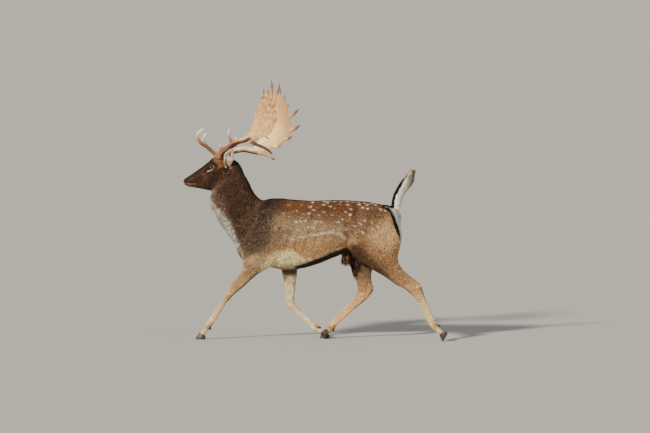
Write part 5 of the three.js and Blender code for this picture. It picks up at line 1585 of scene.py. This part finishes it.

# long hair down the inner thighs, painted near-black as the shade between the thighs, some locks brown
for leg_id, sgn, nm in ((5, 1, "right"), (4, -1, "left")):
    rows = np.array(LEG_ROWS["hr" if leg_id == 5 else "hl"])
    sel = np.nonzero((LF == leg_id) & (FN[:, 0] * sgn > .05) & (FC[:, 2] > 440) & (FC[:, 2] < 610) & (FC[:, 1] < (300 if leg_id == 5 else 350)))[0]
    gen = np.random.default_rng(60 + leg_id)
    p = AREA[sel] * (.03 + ease(noise(FC[sel], (20, 13, 90), 41) * 2.6 - .2) * 2) * ease((FC[sel, 2] - 430) / 60) * ease(((300 if leg_id == 5 else 350) - FC[sel, 1]) / 60)
    pick = gen.choice(sel, 480, p=p / p.sum())
    root, nn, dd, uv = sample(pick, gen)
    L = gen.uniform(44, 112, len(pick))
    dark = mix(np.tile(srgb(44, 32, 27), (len(pick), 1)), srgb(104, 68, 46), ease(gen.normal(-.1, .5, len(pick))))
    wv = gen.normal(0, .12, len(pick))
    dd = unit(dd + np.array([0, .25, -.35]) + np.cross(nn, dd) * wv[:, None])
    dd = unit(dd - nn * np.sum(nn * dd, 1)[:, None])
    # painted shade: the locks' roots are darker
    tuft_mesh("groin_hair_" + nm, root, nn, dd, L, gen.uniform(2.2, 4.0, len(pick)), gen.uniform(.8, 1.3, len(pick)), gen.uniform(3, 11, len(pick)), L * .07, 1 + .15 * gen.normal(0, 1, len(pick)).clip(-2, 2), np.zeros(len(pick), int), np.zeros(len(pick)), np.zeros(len(pick)), uv, LONG_MAT, colour=(dark * .9, dark, dark * 1.25))

# long pale hair inside the ears
for lid_, nm in ((8, "left"), (9, "right")):
    sel = np.nonzero((LF == lid_) & (IN > .6))[0]
    gen = np.random.default_rng(80 + lid_)
    p = AREA[sel] * (.35 + ease(np.abs(noise(FC[sel], 12, 51)) * 2))
    pick = gen.choice(sel, 1500, p=p / p.sum())
    across = ear_across(FC[pick], LF[pick], TF[pick])
    # no locks in the band of painted shade in the ear's hollow
    slot_ = (np.abs(across + .10) < .26) & (TF[pick] > .36) & (TF[pick] < .76)
    pick = pick[~slot_ & (across > -.75)]
    root, nn, dd, uv = sample(pick, gen)
    L = gen.uniform(9, 17, len(pick))
    one = np.ones(len(pick))
    pale = markings_and_painted_light(root, LF[pick], TF[pick], one, nn)
    pale = mix(pale, srgb(244, 234, 218), .25 * one) * (1 + .1 * gen.normal(0, 1, len(pick)).clip(-2, 2))[:, None]
    # painted shade: the locks' roots are darker
    tuft_mesh("ear_hair_" + nm, root, nn, dd, L, gen.uniform(1.8, 2.8, len(pick)), gen.uniform(.6, .9, len(pick)), gen.uniform(8, 26, len(pick)), L * .08, 1 + .1 * gen.normal(0, 1, len(pick)).clip(-2, 2), np.zeros(len(pick), int), np.zeros(len(pick)), np.zeros(len(pick)), uv, LONG_MAT, colour=(pale * .8, pale, pale * 1.05))


# hair standing round the foot of either antler
for rows, nm in ((BEAM_L, "left"), (BEAM_R, "right")):
    foot_ = lean(np.array(rows)[:, :3].astype(float), True)
    apart = seg(FC, foot_[0], foot_[1])
    sel = np.nonzero((LF == 0) & (apart > 11) & (apart < 30) & (AREA > 0))[0]
    gen = np.random.default_rng(90 + len(nm))
    pick = gen.choice(sel, 620, p=AREA[sel] / AREA[sel].sum())
    root, nn, dd, uv = sample(pick, gen)
    away = root - foot_[0]
    away = unit(away - nn * np.sum(away * nn, 1)[:, None])
    rise_ = unit(foot_[2] - foot_[0])
    dd = unit(rise_ * .75 - away * .35 + gen.normal(0, .18, (len(pick), 3)))
    dd = unit(dd - nn * np.sum(nn * dd, 1)[:, None])
    L = gen.uniform(11, 20, len(pick))
    brown = mix(np.tile(srgb(150, 104, 68), (len(pick), 1)), srgb(84, 58, 42), ease(gen.normal(.1, .5, len(pick))))
    # painted shade: the locks' roots are darker
    tuft_mesh("crown_hair_" + nm, root, nn, dd, L, gen.uniform(1.8, 2.8, len(pick)), gen.uniform(.6, .9, len(pick)), gen.uniform(24, 44, len(pick)), L * .05, 1 + .12 * gen.normal(0, 1, len(pick)).clip(-2, 2), np.zeros(len(pick), int), np.zeros(len(pick)), np.zeros(len(pick)), uv, LONG_MAT, colour=(brown * .75, brown, brown * 1.15))

# ------------------------------------------------------------------ antlers
def note(record, rings, frame3, local, kind, s, squeeze):
    """Keeps, for every point of a part, the part's own coordinates: across, across, along."""
    m, n = rings.shape[:2]
    record["p"].append(rings.reshape(-1, 3))
    record["frame"].append(np.repeat(frame3, n, axis=0))
    record["local"].append(local.reshape(-1, 3))
    record["kind"].append(np.full(m * n, kind))
    record["s"].append(np.repeat(s, n))
    record["squeeze"].append(np.repeat(squeeze, n))


def bar(rows, n, steps, record, kind, grow=0.0, flat=(1.0, 1.0, 1.0)):
    fine = refine(rows, steps)
    p = lean(fine[:, :3], True)
    r = np.maximum(.8, fine[:, 3]) + grow
    tang = unit(np.gradient(p, axis=0))
    side = np.array([1.0, 0, 0]) if abs(tang[0][0]) < .8 else np.array([0, 1.0, 0])
    rings, frames = [], []
    a = 2 * np.pi * np.arange(n) / n
    for i in range(len(p)):
        side = unit(side - tang[i] * (side @ tang[i]))
        other = np.cross(tang[i], side)
        thin = np.interp(i / (len(p) - 1), (0, .35, 1), flat)
        rings.append(p[i] + r[i] * (np.cos(a)[:, None] * side * thin + np.sin(a)[:, None] * other))
        frames.append([side, other, tang[i]])
    rings = np.array(rings)
    arc = np.concatenate([[0], np.cumsum(np.linalg.norm(np.diff(p, axis=0), axis=1))])
    local = np.stack([r[:, None] * np.cos(a) + 0 * arc[:, None], r[:, None] * np.sin(a), arc[:, None] + 0 * a], 2)
    note(record, rings, np.array(frames), local, kind, np.linspace(0, 1, len(p)), np.ones(len(p)))
    return tube(rings, None, p[-1] + tang[-1] * r[-1] * .8)


def plate(rows, n, steps, record, kind, thin=.75, cup=-.1, e=2.6):
    fine = refine(rows, steps)
    a, b, t = lean(fine[:, 0:3], True), lean(fine[:, 3:6], True), np.maximum(1.4, fine[:, 6]) * thin
    mid = (a + b) / 2
    along = unit(np.gradient(mid, axis=0))
    across = a - b
    half = np.linalg.norm(across, axis=1) / 2
    across = unit(across)
    out = unit(np.cross(along, across))
    out *= np.where(np.sum(out * mid * (1, 0, 0), 1) < 0, -1, 1)[:, None]
    c = 2 * np.pi * np.arange(n) / n
    u, s = power(np.cos(c), e), power(np.sin(c), 2.0)
    rings = mid[:, None] + across[:, None] * (half[:, None] * u)[..., None] + out[:, None] * (t[:, None] * s * (1 - .35 * np.abs(u) ** 3) + cup * half[:, None] * (1 - u * u))[..., None]
    arc = np.concatenate([[0], np.cumsum(np.linalg.norm(np.diff(mid, axis=0), axis=1))])
    local = np.stack([80 * u[None] + 0 * arc[:, None], t[:, None] * s, arc[:, None] + 0 * u], 2)
    note(record, rings, np.stack([across, out, along], 1), local, kind, np.linspace(0, 1, len(rings)), 80 / half)
    return tube(rings)


ANTLER_MAT = material("antler", rough=.55, spec=.35, bump=((420, .45, .0016), (1500, .3, .0005)), vary=(240, .80, 1.16))


def antler(side, beam, brow, trez, back, knob, palm, points):
    rec = {k: [] for k in ("p", "frame", "local", "kind", "s", "squeeze")}
    b, c = np.array(beam[2], float), np.array(beam[1], float)
    a0 = np.array(beam[0], float)
    burr = [[*(c[:3] * .5 + a0[:3] * .5), 21], [*(c[:3] * .8 + a0[:3] * .2), 25.5], [*(c[:3] * .95 + b[:3] * .05), 27.5], [*(c[:3] * .7 + b[:3] * .3), 25], [*(c[:3] * .4 + b[:3] * .6), 21.5], [*b[:3], 18]]
    bits = [bar(beam, 28, 6, rec, 0, 1.6), bar(burr, 28, 5, rec, 1), bar(brow, 20, 6, rec, 2, .3), bar(trez, 18, 6, rec, 2), bar(back, 18, 6, rec, 6, 2.9 if side > 0 else 2.6), bar(knob, 14, 6, rec, 2), plate(palm, 44, 6, rec, 3)]
    for k, q in enumerate(points):
        q = [list(r) for r in q]
        broad = side < 0 and k in (3, 4, 5)
        first, second = np.array(q[0][:3]), np.array(q[1][:3])
        q.insert(0, [*(first - (second - first) * .5), q[0][3] * 1.7])
        inner_edge = side > 0 and k in (4, 5, 6)
        q[0][3] *= .6 if inner_edge else 1
        q[1][3] *= .9 if inner_edge else 1.65
        for r in q[2:-1]:
            r[3] *= 1.0 if inner_edge else 1.75 if broad else 1.35
        bits.append(bar(q, 18, 6, rec, 5 if side > 0 and k == 4 else 4, 0.0, (.30, .5, .95)))
    me = voxels(bits, 2.5)
    v, e = coords(me), edges_of(me)
    r = {k: np.concatenate(x) for k, x in rec.items()}
    at = nearest(tree_of(r["p"]), v)
    kind, s = r["kind"][at], r["s"][at]
    off = np.einsum("ijk,ik->ij", r["frame"][at], v - r["p"][at])
    off[:, 0] *= r["squeeze"][at]
    own = r["local"][at] + off
    v = relax(v, e, 1.0, .5, 3)
    v = relax(v, e, np.where((kind >= 4) & (s < .55), 1., np.where(kind == 3, .6, 0.)), .5, 9)
    set_coords(me, v)
    n = normals_of(me)
    base = lean(b[None, :3], True)[0]
    up = np.linalg.norm(v - base, axis=1)
    bone = np.where(kind <= 1, 1.0, np.where(kind == 3, .9, ease((.75 - s) / .4)))
    sway = noise(v, 42, 61)[:, None] * (5, 5, 0) + noise(v, 15, 72)[:, None] * (1.5, 1.5, 0)
    q = own + sway
    wide = np.where(kind == 3, 1.5, 1.0)[:, None]
    palmy = (kind >= 3) & (kind < 6)
    vein = 1 - np.abs(noise(q / wide, (6.5, 6.5, 85), 62))
    vein2 = 1 - np.abs(noise(q / wide, (3.6, 3.6, 45), 63))
    fine_v = 1 - np.abs(noise(q / wide, (5.2, 5.2, 30), 75))
    fine_w = 1 - np.abs(noise(q / wide, (3.4, 3.4, 13), 76))
    g = np.where(palmy, .5 * fine_v + .3 * fine_w + .2 * vein, .62 * vein + .38 * vein2)
    furrow = ease((g - .70) / .24)
    d = -np.where(palmy, .7, 1.9) * furrow * bone + .6 * noise(v, 24, 65) * bone
    pearl = ease(noise(v, 5.0, 66) * 1.9 - .05)
    crown = np.exp(-((up - 12) / 16) ** 2) * (kind <= 1)
    d += pearl * (2.0 * crown + 1.0 * ease(1 - up / 150) * (kind <= 2) * bone)
    v = v + n * d[:, None]
    set_coords(me, v)
    n = normals_of(me)
    # brown below, tan and veined outside the palm, cream inside it and partly painted sunlight there, painted shade on
    # the undersides and on the near back tine, dark or pale points
    out_face = ease(n[:, 0] * side * 1.3 + .5)
    col = mix(np.tile(srgb(134, 88, 54), (len(v), 1)), srgb(178, 122, 82), crown * .8)
    col = mix(col, srgb(226, 174, 122), ease((up - 120) / 120))
    # the inner faces are cream, partly their own pale colour and partly painted sunlight
    col = mix(col, srgb(255, 218, 168), (1 - out_face) * ease((up - 50) / 70) * .92 * (kind != 2))
    mottle = ease(noise(v, 15, 67) * .8 + noise(v, 6, 68) * .7 + .1)
    tan = mix(np.tile(srgb(220, 172, 114), (len(v), 1)), srgb(146, 104, 66), mottle * .62)
    tan = mix(tan, srgb(138, 98, 64), ease((up - 340) / 160) * ease(noise(v, 14, 69) * .7 + .55) * .62)
    # the palm's inner face: cream, partly painted sunlight
    sunlit_cream = mix(np.tile(srgb(255, 214, 150), (len(v), 1)), srgb(196, 144, 94), ease((up - 350) / 170) * .9)
    sunlit_cream = mix(sunlit_cream, srgb(200, 146, 96), ease(noise(v, 16, 70) * 1.2 - .1) * .45)
    col = mix(col, tan * out_face[:, None] + sunlit_cream * (1 - out_face[:, None]), ease((up - 240) / 90) * palmy)
    col = mix(col, srgb(66, 42, 28), furrow * bone * np.where(palmy, .26 * out_face + .16, .45 + .35 * out_face))
    # painted shade: downward-turned faces are darkened, most of all under the beam, and more on the near antler
    col = mix(col, srgb(52, 34, 24), ease((-n[:, 2] - .2) / .5) * np.where(palmy, .3, .72) * ease((.9 - s * (kind == 2)) / .3))
    col = mix(col, srgb(50, 33, 24), ease((-n[:, 2] + .12) / .4) * (kind == 0) * ease((up - 60) / 50) * (.85 if side > 0 else .5))
    col = mix(col, srgb(226, 172, 124), crown * pearl * .6)
    col = mix(col, srgb(112, 74, 48), crown * (1 - pearl) * .5)
    col = mix(col, srgb(96, 62, 40), ease((s - .46) / .3) * (kind == 4) * .8)
    col = mix(col, srgb(60, 40, 30), ease((s - .74) / .2) * (kind == 4) * .5)
    col = mix(col, srgb(250, 232, 200), ease((s - .5) / .3) * ((kind == 2) | (kind == 5)) * .95)
    # painted shade: the near antler's back tine is near-black along its length; the far one is tan
    col = mix(col, srgb(36, 25, 20) if side > 0 else srgb(196, 142, 100), ease((s + .05) / .2) * (kind == 6) * .92)
    col = mix(col, srgb(56, 38, 28), ease((s - .72) / .16) * (kind == 6) * .9)
    put_colours(me, np.clip(col * (1 + .06 * noise(v, 9, 71))[:, None], 0, .95))
    me.polygons.foreach_set("use_smooth", np.ones(len(me.polygons), bool))
    me.materials.append(ANTLER_MAT)
    set_coords(me, v + SHIFT)
    name = "antler_left_bone" if side > 0 else "antler_right_bone"
    ob = bpy.data.objects.new(name, me)
    bpy.context.scene.collection.objects.link(ob)
    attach(ob, "root")
    w = "left" if side > 0 else "right"
    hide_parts(*[f"antler_{w}_{k}" for k in ("palm", "beam", "brow_tine", "trez_tine", "back_tine")])
    print(name, len(me.polygons))


antler(1, BEAM_L, BROW_L, TREZ_L, BACK_L, BUMP_L, PALM_L, POINTS_L)
antler(-1, BEAM_R, BROW_R, TREZ_R, BACK_R, BUMP_R, PALM_R, POINTS_R)

# ------------------------------------------------------------------ eyes
EYE_MAT = material("eye", rough=.10, spec=.3, coat=.45, coat_rough=.02)
for sgn, word in ((1, "left"), (-1, "right")):
    bm = bmesh.new()
    bmesh.ops.create_uvsphere(bm, u_segments=56, v_segments=40, radius=1.0)
    em = add_bm(bm)
    q = np.empty(len(em.vertices) * 3, np.float32)
    em.vertices.foreach_get("co", q)
    q = q.reshape(-1, 3).astype(float)
    # the sphere's pole is turned to the eye's axis; the clear front bulges a little
    p = q[:, :1] * FORE + q[:, 1:2] * HIGH + q[:, 2:3] * AXIS
    front_ = np.clip(q[:, 2], 0, 1)
    rad = EYE_R * (1 + .075 * np.exp(-((np.degrees(np.arccos(np.clip(q[:, 2], -1, 1))) / 34) ** 4)))
    ef, eh = q[:, 0] * EYE_R, q[:, 1] * EYE_R
    r = np.hypot(ef, eh)
    col = np.tile(srgb(46, 34, 28), (len(q), 1))
    angle = np.arctan2(eh, ef)
    iris = mix(np.tile(srgb(44, 27, 17), (len(q), 1)), srgb(22, 14, 10), ease((r - 8) / 4) * .8)
    iris = mix(iris, srgb(70, 44, 27), ease(np.sin(angle * 23) * .6) * .25)
    col = mix(col, iris, ease((13.2 - r) / .8) * (q[:, 2] > 0))
    col = mix(col, srgb(12, 9, 9), ease((1.06 - np.sqrt((ef / 7.6) ** 2 + (eh / 4.4) ** 2)) / .1) * (q[:, 2] > 0))
    col = mix(col, srgb(12, 9, 9), ease(1 - np.abs(r - 13.6) / 1.2) * (q[:, 2] > 0))
    p = EYE + p * rad[:, None]
    p[:, 0] *= sgn
    p = lean(p, True)
    put_colours(em, col)
    em.polygons.foreach_set("use_smooth", np.ones(len(em.polygons), bool))
    em.materials.append(EYE_MAT)
    set_coords(em, p + SHIFT)
    if sgn < 0:
        em.flip_normals()
    ob = bpy.data.objects.new("eyeball_" + word, em)
    bpy.context.scene.collection.objects.link(ob)
    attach(ob, "root"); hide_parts("eye_" + word)

# ------------------------------------------------------------------ hooves and dewclaws
HORN_MAT = material("horn", rough=.42, spec=.45, bump=((700, .2, .0006),), vary=(220, .8, 1.2))
WORDS = {"fl": "fore_left", "fr": "fore_right", "hl": "hind_left", "hr": "hind_right"}


def finish_piece(name, v, f, colour, mat, replaced):
    f = closed_out(v, f)
    ob = to_object(name, (v + SHIFT) * .001, f)
    put_colours(ob.data, colour)
    ob.data.polygons.foreach_set("use_smooth", np.ones(len(ob.data.polygons), bool))
    ob.data.materials.append(mat)
    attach(ob, "root"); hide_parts(replaced)
    return ob


def claw(foot, side):
    at = foot_map(foot)
    L, hw = HOOF["length"], HOOF["half"]
    levels = [[3.2, .0, L - 5, .0, hw - 3], [.6, .8, L - 2.5, .8, hw - 1.4], [.2, 3, L - 1, 3, hw - .6], [3.6, 9, L - .6, 7.5, hw - .2], [9, 19, L, 14, hw], [14, 26, L + .2, 18, hw - .3], [19.5, 33, L - 1.2, 21.5, hw - .9], [HOOF["front"], HOOF["wall"], HOOF["rear"], HOOF["heel"], hw - 1.5], [HOOF["front"] + 4, HOOF["wall"] + 1.6, HOOF["rear"] - 4, HOOF["heel"] + 2.2, hw - 4.5]]
    n = 36
    fine = refine(levels, 4)
    rings = []
    a = 2 * np.pi * np.arange(n) / n
    for i, (ya, za, yb, zb, w) in enumerate(fine):
        u, s = power(np.cos(a), 2.3), power(np.sin(a), 2.6)
        wide = (w - HOOF["cleft"]) / 2
        taper = 1 - .34 * ((1 + u) / 2) ** 2
        grown = .28 * math.sin(i * 1.9) if 6 < i < 30 else 0.0
        dx = side * (HOOF["cleft"] + .5 + (wide - .3 + grown * .5) * taper * (1 + s))
        y = (ya + yb) / 2 + ((ya - yb) / 2 - grown * .4) * u
        z = (za + zb) / 2 + ((za - zb) / 2) * u
        rings.append(np.stack(at(dx, y, z), 1))
    rings = np.array(rings)
    rings[..., 2] = np.maximum(rings[..., 2], .0)
    v, f = tube(rings)
    v[:, 2] = np.maximum(v[:, 2], 0)
    s = np.concatenate([np.repeat(np.linspace(0, 1, len(rings)), n), [0, 1]])
    col = mix(np.tile(srgb(44, 38, 35), (len(v), 1)), srgb(86, 74, 64), ease(noise(v, (6, 14, 14), 81) + .1) * .45)
    col = mix(col, srgb(104, 88, 74), ease((.16 - s) / .12) * .5)
    col = mix(col, srgb(70, 56, 46), ease((s - .85) / .1) * .5)
    return v, f, col


def dewclaw(rows, foot, side):
    last, before = np.array(rows[-1], float), np.array(rows[-2], float)
    back = unit(np.array([0, last[2] - last[0], last[3] - last[1]]))
    down = unit(np.array([0, (last[0] + last[2]) / 2 - (before[0] + before[2]) / 2, (last[1] + last[3]) / 2 - (before[1] + before[3]) / 2]))
    start = np.array([last[4] + side * 10, last[2], last[3]]) - back * 7 - down * 4
    rings, n = [], 18
    a = 2 * np.pi * np.arange(n) / n
    for d, r in refine([[0, 5.6], [4, 6.4], [11, 6.2], [18, 4.0], [22, 1.6]], 4):
        c = start + back * d * .62 + down * d * .78
        rings.append(c + np.outer(side * d * .12 + r * np.cos(a), [1, 0, 0]) + np.outer(r * .78 * np.sin(a), back) - np.outer(r * .62 * np.sin(a), down))
    v, f = tube(np.array(rings))
    return v, f, mix(np.tile(srgb(46, 40, 36), (len(v), 1)), srgb(84, 72, 62), ease(noise(v, 6, 82)) * .4)


for key, word in WORDS.items():
    leg_side = 1 if "left" in word else -1
    for side in (-1, 1):
        where = "outer" if side * leg_side > 0 else "inner"
        v, f, col = claw(FEET[key], side)
        finish_piece(f"claw_{word}_{where}", v, f, col, HORN_MAT, f"hoof_{word}_{where}")
        v, f, col = dewclaw(LEGS[key], FEET[key], side)
        finish_piece(f"dew_{word}_{where}", v, f, col, HORN_MAT, f"dewclaw_{word}_{where}")
